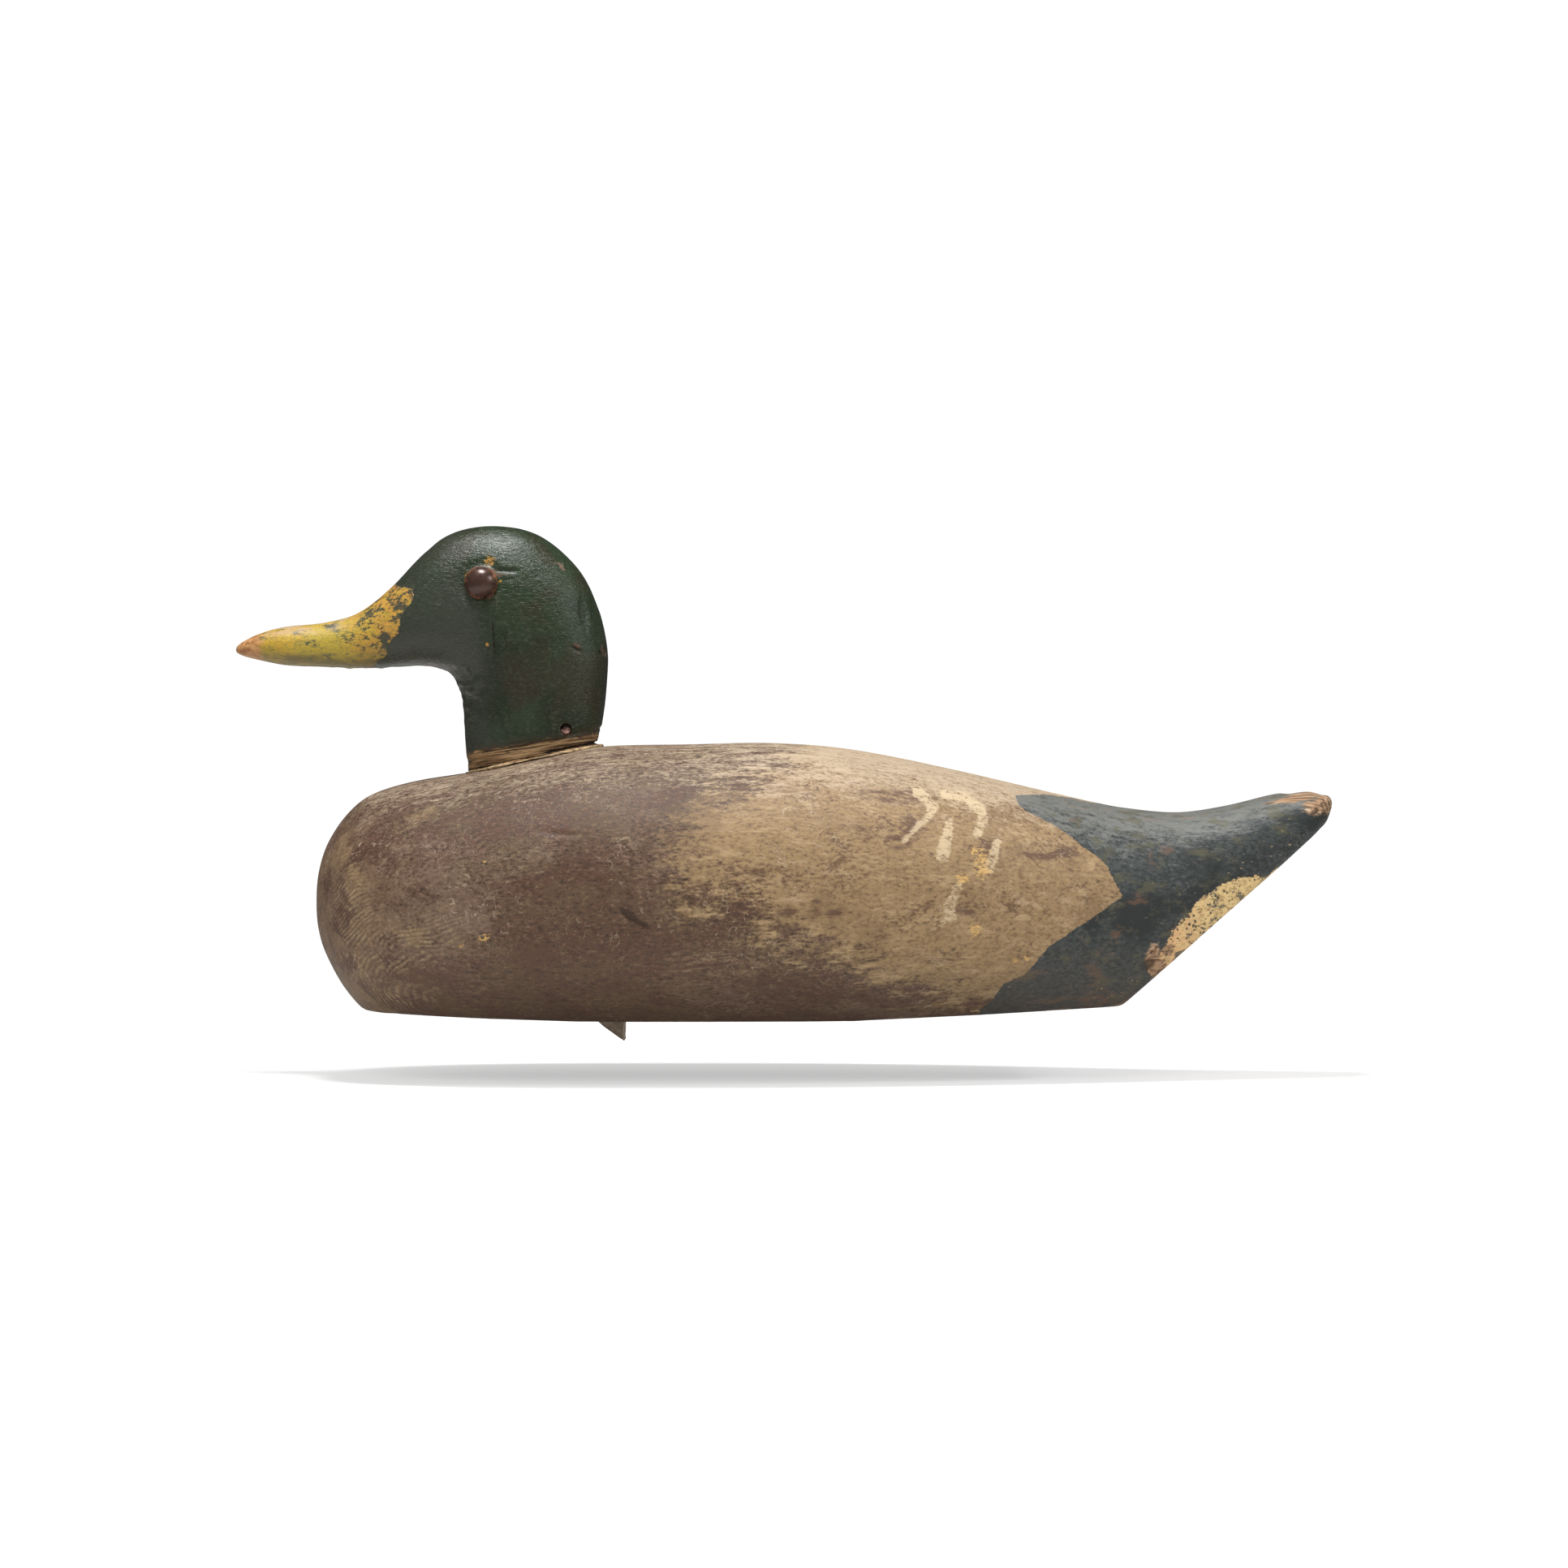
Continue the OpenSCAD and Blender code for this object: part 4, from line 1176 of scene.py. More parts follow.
    gouges: tuple[Gouge, ...] = (
        Gouge(Spot(-33.4, 38.6, 15, 6, -38), 1.5), Gouge(Spot(-27.5, 35.0, 9, 4, -30), 1.0),
        Gouge(Spot(-7.0, 100.0, 6, 3, 10), 0.8), Gouge(Spot(60.0, 21.0, 10, 3, 8), 0.7),
        Gouge(Spot(-60.0, 70.0, 26, 3.0, -6), 0.5), Gouge(Spot(20.0, 55.0, 34, 3.0, 4), 0.45),
        Gouge(Spot(40.0, 60.0, 13, 5, 30), 1.2, (Side.RIGHT,)), Gouge(Spot(-80.0, 40.0, 9, 6, -20), 1.1, (Side.RIGHT,)),
        Gouge(Spot(120.0, 40.0, 16, 4, 10), 0.9, (Side.RIGHT,)), Gouge(Spot(-20.0, 82.0, 20, 4, -8), 0.8, (Side.RIGHT,)),
        Gouge(Spot(166.0, 19.5, 8, 10, -45), 1.6),
    )

    def block(self) -> bpy.types.Object:
        """The rounded block, before it is sawn."""
        rows = faired(self.lines, self.steps)
        up, out = oval(self.square, self.sides)
        x = np.repeat(rows[:, :1], self.sides, axis=1)
        y = rows[:, 3:4] * self.beam / 2 * out
        z = (rows[:, 1:2] + rows[:, 2:3]) / 2 + (rows[:, 1:2] - rows[:, 2:3]) / 2 * up
        return drawn_out(self.name, np.stack([x, y, z], 2))

    def sawn(self, piece: bpy.types.Object) -> None:
        """Saws the flat bottom, its rise to both ends and the slope under the tail."""
        cuts = ((0.0, 0.0), (-self.flat_half, -self.fore_rise), (self.flat_half, self.aft_rise),
                (self.tail_cut_x, self.tail_rise))
        for x, rise in cuts:
            angle = math.radians(rise)
            saw(piece, (x, 0, 0), (math.sin(angle), 0, -math.cos(angle)))

    def pocketed(self, piece: bpy.types.Object) -> None:
        """Cuts the seat of the neck and the pockets for the lead and the leather."""
        low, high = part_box("ballast_weight")
        pared(piece, stadium("cutter", low / MM, high / MM, self.pocket_room, drop=4))
        low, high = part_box("line_tie_tails")
        pared(piece, mortise(low / MM, high / MM, drop=4))
        pared(piece, NeckFoot().prism("cutter", 0.4))

    def weathered(self, piece: bpy.types.Object) -> None:
        """Sinks the marks of the drawknife and of use into the surface."""
        points, normals = points_of(piece), normals_of(piece)
        places = self.stencil.thrown(points)
        x, y, z = points.T
        flat = step(-normals[:, 2], 0.9, 0.99) * step(z, 12, 6)
        sunk = 0.22 * (1 + layered(points, (60, 40, 40), 3)) / 2
        sunk += 0.30 * np.abs(ripple(points, (75, 26, 26), 8))
        sunk += 0.10 * (1 + layered(points, (24, 6, 6), 12)) / 2
        sunk *= 1 - 0.8 * flat
        sunk += sum(gouge.sunk(points, places) for gouge in self.gouges)
        sunk += self.tail_splits(points)
        sunk += 0.25 * flat * (1 + ripple(points, (60, 5, 5), 21)) / 2
        lower_edge = step(self.lay_of(piece, 10), 0.15, 0.5) * step(z, 30, 2)
        sunk += 0.4 * lower_edge * (0.5 + 0.5 * layered(points, (14, 9, 9), 31))
        set_points(piece, points - normals * np.maximum(sunk, 0)[:, None])

    def tail_splits(self, points: np.ndarray) -> np.ndarray:
        """Splits and torn fibres at the tip of the tail, by depth."""
        x, y, z = points.T
        along = np.column_stack([x * 0.05, y, z - 0.12 * x])
        fibres = np.abs(ripple(along, (3.0, 4.6, 1.5), 41)) * 0.12 + np.abs(ripple(along, (2.4, 2.2, 0.8), 42)) * 0.08
        split = np.exp(-(((z - 85.9 - 0.02 * (x - 225)) / 1.0) ** 2)) * step(x, 214, 220) * 1.0
        return step(x, 214, 224) * fibres + split

    def painted(self, piece: bpy.types.Object) -> None:
        """Lays out the edges of the paint and the places of wear on the surface."""
        points, normals = points_of(piece), normals_of(piece)
        places = self.stencil.thrown(points)
        x, y, z = points.T
        proud = self.lay_of(piece, 16)
        # Its sunk points get painted shade in the body's colour.
        write_field(piece, "proud", proud)
        # Which way each point faces up, read for wear and for the painted top light and sheen.
        write_field(piece, "up", normals[:, 2])
        write_field(piece, "arris", step(self.lay_of(piece, 30), 0.25, 0.9) * step(z, 26, 3))
        write_field(piece, "breast_wear", step(x, -84, -134) * step(z, 92, 60) * 0.7 + step(z, 88, 100) * 0.35)
        write_field(piece, "ridged", strongest(self.ridged_spots, places) - 0.4 * step(x, -90, -50))
        write_field(piece, "rump", inside_outline(places, self.rump))
        write_field(piece, "flank", inside_outline(places, self.flank))
        under = np.maximum(inside_outline(places, self.under_tail), self.beneath_tail(points, normals))
        write_field(piece, "under_tail", under)
        write_field(piece, "flicks", np.max([stroke.cover(places) for stroke in self.flicks], axis=0))
        write_field(piece, "gold", strongest(self.gold, places))
        write_field(piece, "bare_spots", strongest(self.bare_spots, places))
        write_field(piece, "rust_patches", strongest(self.rust_patches, places))
        write_field(piece, "raw", strongest(self.raw_spots, places))
        write_field(piece, "stains", strongest(self.stains, places))
        write_field(piece, "flick_fade", step(places[:, 1], self.faded_below, self.faded_below - 22))
        # Painted shade: how low a point lies on the body, read to darken the lower body.
        write_field(piece, "low", step(z, 34, 3) * step(x, 190, 150))

    def beneath_tail(self, points: np.ndarray, normals: np.ndarray) -> np.ndarray:
        """Distance inside the pale patch on the sawn slope under the tail."""
        x, y, z = points.T
        sloped = (normals[:, 2] < -0.5) & (x > 160)
        reach = np.minimum(np.minimum(x - 166, 212 - x), 60)
        return np.where(sloped, reach, -60)

    def build(self, finish: bpy.types.Material) -> bpy.types.Object:
        """Carves, weathers and paints the body."""
        piece = self.block()
        self.sawn(piece)
        self.pocketed(piece)
        self.evened(piece)
        self.weathered(piece)
        self.painted(piece)
        self.finished(piece, finish, "body_wood", "body")
        return piece


@dataclass(frozen=True)
class NeckFoot:
    """The oval foot of the neck on its sloping seat."""

    rear: float = -44.2
    front: float = -95.0
    half_width: float = 21.05
    seat_z: float = 98.0
    slope: float = 11.8
    square: float = 2.4

    @property
    def middle(self) -> float:
        """The middle of the foot along X."""
        return (self.rear + self.front) / 2

    def outline(self, grow: float, sides: int) -> np.ndarray:
        """The foot's outline as rows of x and y, larger all round by grow."""
        along, across = oval(self.square, sides)
        half = (self.rear - self.front) / 2 + grow
        return np.stack([self.middle + half * along, (self.half_width + grow) * across], 1)

    def seat(self, x: np.ndarray) -> np.ndarray:
        """The height of the seat at each x."""
        return self.seat_z + (x - self.middle) * math.tan(math.radians(self.slope))

    def prism(self, name: str, grow: float, sides: int = 96) -> bpy.types.Object:
        """An upright prism over the foot, from the seat to well above the back."""
        bpy.ops.object.select_all(action="DESELECT")
        bpy.ops.mesh.primitive_cylinder_add(vertices=sides, radius=1, depth=2)
        prism = fresh(name)
        points = points_of(prism) * MM
        column = np.rint(np.arctan2(points[:, 0], points[:, 1]) / (2 * math.pi) * sides).astype(int) % sides
        rim = self.outline(grow, sides)[(sides // 4 - column) % sides]
        z = np.where(points[:, 2] > 0, 125.0, self.seat(rim[:, 0]))
        set_points(prism, np.column_stack([rim, z]))
        return prism


def stadium(name: str, low: Vector, high: Vector, grow: float, drop: float = 0.0, sides: int = 64) -> bpy.types.Object:
    """A slab with round ends that fills a box, larger all round by grow and lower by drop."""
    bpy.ops.object.select_all(action="DESELECT")
    bpy.ops.mesh.primitive_cylinder_add(vertices=sides, radius=1, depth=2)
    slab = fresh(name)
    points = points_of(slab) * MM
    half_width = (high.y - low.y) / 2
    middle, run = (low + high) / 2, (high.x - low.x) / 2 - half_width
    x = middle.x + points[:, 0] * (half_width + grow) + np.sign(np.round(points[:, 0], 4)) * run
    y = middle.y + points[:, 1] * (half_width + grow)
    z = np.where(points[:, 2] > 0, high.z, low.z - drop)
    set_points(slab, np.column_stack([x, y, z]))
    return slab


def mortise(low: Vector, high: Vector, drop: float) -> bpy.types.Object:
    """The slot that holds the leather's tails, stepped deeper at the end where the loop folds away."""
    room, loop_end, step_at, deep = 1.3, -18.5, -2.0, 10.2
    bpy.ops.object.select_all(action="DESELECT")
    bpy.ops.mesh.primitive_cube_add(size=2)
    slot = fresh("cutter")
    unit = points_of(slot) * MM
    x = np.where(unit[:, 0] > 0, high.x + room, low.x - room)
    y = np.where(unit[:, 1] > 0, high.y + 2.0, step_at)
    z = np.where(unit[:, 2] > 0, high.z, -drop)
    set_points(slot, np.column_stack([x, y, z]))
    in_edit_mode(slot)
    bpy.ops.mesh.select_all(action="DESELECT")
    bpy.ops.object.mode_set(mode="OBJECT")
    for face in slot.data.polygons:
        face.select = face.normal.y < -0.9
    bpy.ops.object.mode_set(mode="EDIT")
    bpy.ops.mesh.extrude_region_move(TRANSFORM_OT_translate={"value": (0, (loop_end - step_at) * MM, 0)})
    close_edit()
    points = points_of(slot)
    deeper = (points[:, 1] < step_at + 0.01) & (points[:, 2] > 0)
    points[deeper, 2] = deep
    set_points(slot, points)
    return slot


@dataclass
class HeadCarving(Carving):
    """Neck, head and bill in one, as sections that fan round the throat."""

    foot: NeckFoot = field(default_factory=NeckFoot)
    thickness: float = 46.0
    square: float = 2.4
    sides: int = 112
    steps: int = 10
    lines: tuple[Point, ...] = (
        (-44.2, 92.0, -95.0, 80.0, 0.915), (-44.2, 106.0, -95.2, 95.0, 0.915), (-43.0, 115.0, -96.2, 108.0, 0.92),
        (-41.6, 128.0, -97.0, 118.8, 0.94), (-41.5, 140.0, -98.7, 125.5, 0.975), (-45.0, 156.0, -101.5, 130.2, 1.0),
        (-52.9, 171.3, -107.0, 133.0, 1.0), (-67.5, 183.7, -113.0, 133.6, 0.97), (-84.5, 187.5, -119.0, 133.4, 0.90),
        (-100.0, 185.0, -124.5, 132.9, 0.80), (-112.4, 176.3, -129.5, 132.4, 0.70),
        (-124.2, 163.9, -135.5, 132.3, 0.61), (-136.0, 154.6, -142.5, 132.6, 0.55),
        (-149.0, 150.6, -152.0, 133.3, 0.53), (-163.9, 149.0, -164.5, 134.0, 0.52),
        (-174.0, 146.4, -174.0, 135.8, 0.43), (-180.5, 143.3, -180.2, 137.4, 0.27),
        (-183.4, 141.2, -183.5, 138.9, 0.08),
    )
    bill: tuple[Point, ...] = (
        (-121.0, 175.0), (-122.6, 164.4), (-119.0, 163.6), (-116.2, 163.0), (-116.0, 160.0), (-117.2, 157.4),
        (-119.4, 154.6), (-121.2, 150.4), (-121.8, 147.0), (-124.4, 143.6), (-126.0, 140.6), (-126.6, 137.6),
        (-129.4, 135.2), (-130.2, 131.0), (-130.0, 110.0), (-230.0, 110.0), (-230.0, 200.0),
    )
    ochre: tuple[Spot, ...] = (
        Spot(-86.8, 174.0, 4.6, 5.0, 12), Spot(-95.2, 167.0, 2.0, 8.0, 10), Spot(-87.6, 142.0, 1.7, 2.8, 8),
        Spot(-83.0, 166.0, 2.6, 1.6, 10), Spot(-112.0, 133.4, 12.0, 1.6),
    )
    chips: tuple[Spot, ...] = (
        Spot(-53.4, 141.4, 5.6, 2.4, -25), Spot(-59.1, 172.4, 5.4, 3.6, -30), Spot(-43.4, 139.2, 3.6, 6.0, 12),
        Spot(-88.6, 164.4, 15.4, 15.4), Spot(-51.0, 104.0, 18, 7, 10),
    )
    gouges: tuple[Gouge, ...] = (
        Gouge(Spot(-80.2, 170.4, 12, 3.0, -4), 0.6, (Side.LEFT, Side.RIGHT)),
        Gouge(Spot(-79.4, 167.0, 10, 1.8, 12), 0.2, (Side.LEFT, Side.RIGHT)),
        Gouge(Spot(-86.8, 174.0, 4.0, 4.6, 10), 0.45), Gouge(Spot(-53.4, 140.6, 6.0, 2.2, -25), 0.9),
        Gouge(Spot(-43.6, 139.2, 3.0, 5.0, 12), 0.7), Gouge(Spot(-60.0, 150.0, 12, 7, 20), 0.8, (Side.RIGHT,)),
        Gouge(Spot(-72.0, 118.0, 14, 5, 0), 0.7, (Side.RIGHT,)), Gouge(Spot(-85.3, 145.0, 1.8, 26, 3), 0.55),
        Gouge(Spot(-50.6, 154.0, 5, 20, 8), 0.35), Gouge(Spot(-90.6, 152.0, 9, 6, 0), 0.3),
    )

    def block(self) -> bpy.types.Object:
        """The rounded head, before its foot is sawn."""
        rows = faired(self.lines, self.steps)
        along, out = oval(self.square, self.sides)
        outer, inner, half = rows[:, 0:2], rows[:, 2:4], rows[:, 4:5] * self.thickness / 2
        middle, reach = (outer + inner) / 2, (outer - inner) / 2
        x = middle[:, :1] + reach[:, :1] * along
        z = middle[:, 1:] + reach[:, 1:] * along
        return drawn_out(self.name, np.stack([x, half * out, z], 2))

    def sawn(self, piece: bpy.types.Object) -> None:
        """Saws the foot to the slope of its seat."""
        slope = math.radians(self.foot.slope)
        saw(piece, (self.foot.middle, 0, self.foot.seat_z), (math.sin(slope), 0, -math.cos(slope)))

    def drilled(self, piece: bpy.types.Object) -> None:
        """Punches the holes of the nails and flattens the wood under the eyes."""
        for side, name in ((Side.LEFT, "left"), (Side.RIGHT, "right")):
            low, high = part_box(f"eye_cap_{name}")
            middle, radius = (low + high) / 2, (high.z - low.z) / 2
            seat = min(abs(low.y), abs(high.y))
            depth = 8 * MM
            bpy.ops.object.select_all(action="DESELECT")
            bpy.ops.mesh.primitive_cylinder_add(
                vertices=48, radius=radius + 0.25 * MM, depth=depth,
                location=(middle.x, side.value * (seat + depth / 2), middle.z), rotation=(math.pi / 2, 0, 0),
            )
            pared(piece, fresh("cutter"))
            pared(piece, NeckNail(side).punch())

    def weathered(self, piece: bpy.types.Object) -> None:
        """Sinks facets, chips, the gnawed throat and the torn fibres of the foot into the surface."""
        points, normals = points_of(piece), normals_of(piece)
        places = self.stencil.thrown(points)
        x, y, z = points.T
        sunk = 0.30 * np.abs(ripple(points, (26, 22, 20), 5)) + 0.12 * (1 + layered(points, (9, 7, 7), 15)) / 2
        sunk += 0.07 * np.abs(ripple(points, (5.0, 4.0, 1.9), 16))
        sunk += sum(gouge.sunk(points, places) for gouge in self.gouges)
        sunk += self.gnawed(points)
        sunk += self.torn_foot(points)
        eye = np.hypot(x + 88.6, z - 164.8)
        sunk += 0.5 * step(eye, 10.5, 7.0) * step(eye, 6.0, 6.9)
        sunk *= 1 - step(-normals[:, 2], 0.9, 0.98) * step(z, 108, 104)
        set_points(piece, points - normals * np.maximum(sunk, 0)[:, None])

    def gnawed(self, points: np.ndarray) -> np.ndarray:
        """Bites out of the front of the throat, by depth."""
        x, y, z = points.T
        band = step(z, 104, 112) * step(z, 134.5, 131) * step(x, -84, -92)
        bites = np.abs(ripple(points, (6, 9, 4.6), 51)) * 1.1 + np.abs(ripple(points, (3, 5, 2.2), 52)) * 0.5
        return band * bites * step(z, 112, 122) + 0.35 * band * np.abs(ripple(points, (3, 4, 3), 53))

    def torn_foot(self, points: np.ndarray) -> np.ndarray:
        """Layers of torn fibre round the foot of the neck, and the open joint below them, by depth."""
        x, y, z = points.T
        height = z - self.foot.seat(x)
        ragged = height + 0.9 * ripple(points, (16, 10, 60), 61)
        layers = np.abs(ripple(np.column_stack([x / 14, y / 14, ragged * 0.8]), 1.0, 62))
        layers += 0.5 * np.abs(ripple(np.column_stack([x / 8, y / 8, ragged * 1.5]), 1.0, 64))
        band = step(ragged, 8.4, 5.6) * step(height, -0.5, 0.8)
        open_joint = step(ripple(points, (22, 14, 90), 63), -0.35, 0.2)
        gap = np.exp(-(((height - 1.3 - 0.5 * ripple(points, (12, 9, 90), 65)) / 0.55) ** 2)) * open_joint
        return (band * (0.35 + 0.75 * layers) + 1.6 * gap) * (1 - 0.6 * step(x, -87, -94))

    def painted(self, piece: bpy.types.Object) -> None:
        """Lays out the edges of the paint and the places of wear on the surface."""
        points, normals = points_of(piece), normals_of(piece)
        places = self.stencil.thrown(points)
        x, y, z = points.T
        # Raised points read as rubbed edges; sunk ones get painted shade.
        write_field(piece, "proud", self.lay_of(piece, 14))
        # Which way each point faces up, read for the bill's painted sheen on top and painted shade beneath.
        write_field(piece, "up", normals[:, 2])
        write_field(piece, "bill", inside_outline(places, self.bill))
        write_field(piece, "bill_warm", 0.85 * step(x, -146, -122) + 0.35 * step(normals[:, 2], 0.3, 0.9))
        write_field(piece, "bill_edge", step(x, -142, -124))
        write_field(piece, "bill_fore", step(x, -134, -146))
        write_field(piece, "bill_tip", (-170.5 - x) / 6)
        write_field(piece, "ochre", strongest(self.ochre, places))
        write_field(piece, "chips", strongest(self.chips, places))
        sooty = step(x, -76, -98) * step(z, 168, 152) + 0.7 * step(x, -86, -104) + 0.5 * step(z, 118, 100)
        write_field(piece, "sooty", sooty)
        write_field(piece, "umber", step(z, 150, 120) * step(x, -90, -66) + 0.7 * step(np.hypot(x + 63, z - 156), 14, 4))
        write_field(piece, "foot", z - self.foot.seat(x) + 0.06 * (x + 70))

    def build(self, finish: bpy.types.Material) -> bpy.types.Object:
        """Carves, weathers and paints the head."""
        piece = self.block()
        self.sawn(piece)
        self.drilled(piece)
        self.evened(piece)
        self.weathered(piece)
        self.painted(piece)
        self.finished(piece, finish, "head_wood", "head")
        return piece


# ---- fittings ---------------------------------------------------------------------------


def turned(piece: bpy.types.Object, at: Point, towards: Point) -> None:
    """Moves a piece made along +Z from the origin so that it starts at a point and runs another way."""
    turn = Vector(towards).to_track_quat("Z", "Y").to_matrix().to_4x4()
    piece.data.transform(Matrix.Translation(Vector(at) * MM) @ turn)
    piece.data.update()


@dataclass
class Nail:
    """An old nail with a worn head and a pointed shank, made along +Z from the top of its head."""

    name: str
    head: float
    head_thick: float
    shank: float
    length: float
    seed: int = 1

    def forged(self) -> bpy.types.Object:
        """The nail at the origin."""
        bpy.ops.object.select_all(action="DESELECT")
        bpy.ops.mesh.primitive_circle_add(vertices=28, radius=self.head / 2 * MM, fill_type="NGON")
        nail = fresh(self.name)
        in_edit_mode(nail)
        bpy.ops.mesh.extrude_region_move(TRANSFORM_OT_translate={"value": (0, 0, self.head_thick * MM)})
        bpy.ops.mesh.inset(thickness=(self.head - self.shank) / 2 * MM, depth=0)
        bpy.ops.mesh.extrude_region_move(
            TRANSFORM_OT_translate={"value": (0, 0, (self.length - self.head_thick - self.shank * 2) * MM)}
        )
        bpy.ops.mesh.extrude_region_move(TRANSFORM_OT_translate={"value": (0, 0, self.shank * 2 * MM)})
        bpy.ops.transform.resize(value=(0.15, 0.15, 1), center_override=(0, 0, self.length * MM))
        close_edit()
        points = points_of(nail)
        rim = np.hypot(points[:, 0], points[:, 1]) > self.head / 2 - 0.01
        nail.data.update()
        with_modifier(nail, "BEVEL", width=min(self.head_thick, 0.9) * 0.35 * MM, segments=2, angle_limit=0.9)
        with_modifier(nail, "SUBSURF", subdivision_type="SIMPLE", levels=1, render_levels=1)
        points = points_of(nail)
        on_head = step(points[:, 2], self.head_thick * 1.5, 0)
        dents = layered(points, (1.4, 1.4, 1.4), self.seed) * 0.10 + ripple(points, 3.0, self.seed + 5) * 0.10
        points[:, 2] += on_head * np.abs(dents) * 1.2
        points[:, :2] *= (1 - 0.05 * on_head * np.abs(ripple(points, 2.2, self.seed + 9)))[:, None]
        set_points(nail, points)
        return nail

    def driven(self, at: Point, towards: Point, finish: bpy.types.Material, node: str) -> bpy.types.Object:
        """The nail in its place, with its finish, standing for a node of the frame."""
        nail = self.forged()
        turned(nail, at, towards)
        nail.data.materials.append(finish)
        smooth_shaded(nail)
        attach(nail, Body.DECOY.value)
        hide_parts(node)
        log.info("%s: %d faces", nail.name, len(nail.data.polygons))
        return nail


@dataclass(frozen=True)
class NeckNail:
    """Where a nail goes slantwise through the foot of the neck."""

    side: Side
    x: float = -56.7
    y: float = 17.4
    z: float = 109.4
    tilt: float = 53.0
    sink: float = 7.0
    hole: float = 4.0

    @property
    def place(self) -> Point:
        """The middle of the nail's head."""
        return (self.x, self.side.value * self.y, self.z)

    @property
    def towards(self) -> Point:
        """The way the nail is driven."""
        tilt = math.radians(self.tilt)
        return (0, -self.side.value * math.cos(tilt), -math.sin(tilt))

    def punch(self) -> bpy.types.Object:
        """A round cutter for the shallow hole that the nail's head lies in, dug straight in from the side."""
        bpy.ops.object.select_all(action="DESELECT")
        bpy.ops.mesh.primitive_cylinder_add(vertices=20, radius=self.hole / 2 * MM, depth=self.sink * MM)
        cutter = fresh("cutter")
        cutter.data.transform(Matrix.Translation((0, 0, (-self.sink / 2 + 1.2) * MM)))
        turned(cutter, (self.x, self.side.value * self.y, self.z + 0.2), (0, -self.side.value, 0))
        return cutter


@dataclass
class EyeTack:
    """The dome of an upholstery tack, dented and rusted at its rim."""

    side: Side
    wall: float = 0.6
    lip: float = 0.35

    def build(self, finish: bpy.types.Material) -> bpy.types.Object:
        """Raises the dome from a ball, folds its rim and sets it on the head."""
        word = self.side.name.lower()
        low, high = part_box(f"eye_cap_{word}")
        radius, tall = (high.z - low.z) / 2 / MM, (high.y - low.y) / MM
        ball = (radius**2 + tall**2) / (2 * tall)
        bpy.ops.object.select_all(action="DESELECT")
        bpy.ops.mesh.primitive_uv_sphere_add(segments=64, ring_count=48, radius=ball * MM)
        dome = fresh(f"eye_dome_{word}")
        in_edit_mode(dome)
        bpy.ops.transform.translate(value=(0, 0, (tall - ball) * MM))
        bpy.ops.mesh.select_all(action="SELECT")
        bpy.ops.mesh.bisect(plane_co=(0, 0, self.lip * MM), plane_no=(0, 0, -1), clear_outer=True)
        close_edit(outwards=False)
        points = points_of(dome)
        reach = np.hypot(points[:, 0], points[:, 1]) / radius
        rim = step(reach, 0.86, 1.0)
        points[:, 2] -= rim * self.lip
        points[:, 2] -= 0.10 * np.abs(layered(points, 3.0, 71 + self.side.value)) * (1 - rim)
        points[:, 2] = np.minimum(points[:, 2], tall)
        set_points(dome, points)
        with_modifier(dome, "SOLIDIFY", thickness=self.wall * MM, offset=-1)
        with_modifier(dome, "BEVEL", width=0.12 * MM, segments=2, angle_limit=0.9)
        points = points_of(dome)
        write_field(dome, "rim", np.clip(np.hypot(points[:, 0], points[:, 1]) / radius, 0, 1.05) ** 2)
        seat = min(abs(low.y), abs(high.y)) / MM
        middle = (low + high) / 2 / MM
        turned(dome, (middle.x, self.side.value * seat, middle.z), (0, self.side.value, 0))
        dome.data.materials.append(finish)
        smooth_shaded(dome, 50)
        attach(dome, Body.DECOY.value)
        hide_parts(f"eye_cap_{word}")
        log.info("%s: %d faces", dome.name, len(dome.data.polygons))
        return dome


@dataclass
class LeadSlab:
    """The cast lead let into the bottom, hammered flush and dished at its nails."""

    voxel: float = 0.8
    dish: float = 0.5

    def build(self, finish: bpy.types.Material) -> bpy.types.Object:
        """Casts the slab and hammers it."""
        low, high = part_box("ballast_weight")
        slab = stadium("lead_ballast", low / MM, high / MM, -0.1)
        with_modifier(slab, "BEVEL", width=1.2 * MM, segments=3, angle_limit=0.9)
        with_modifier(slab, "REMESH", mode="VOXEL", voxel_size=self.voxel * MM, adaptivity=0)
        with_modifier(slab, "SMOOTH", factor=0.5, iterations=2)
        points, normals = points_of(slab), normals_of(slab)
        below = step(-normals[:, 2], 0.3, 0.8)
        sunk = below * (0.18 * np.abs(ripple(points, 7, 81)) + 0.12 * (1 + layered(points, 3.2, 82)) / 2)
        for node in ("ballast_nail_front", "ballast_nail_rear"):
            near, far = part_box(node)
            middle = (near + far) / 2 / MM
            sunk += below * self.dish * step(np.hypot(points[:, 0] - middle.x, points[:, 1] - middle.y), 7.0, 3.2)
        set_points(slab, points - normals * sunk[:, None])
        slab.data.materials.append(finish)
        smooth_shaded(slab, 60)
        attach(slab, Body.DECOY.value)
        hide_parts("ballast_weight")
        log.info("%s: %d faces", slab.name, len(slab.data.polygons))
        return slab


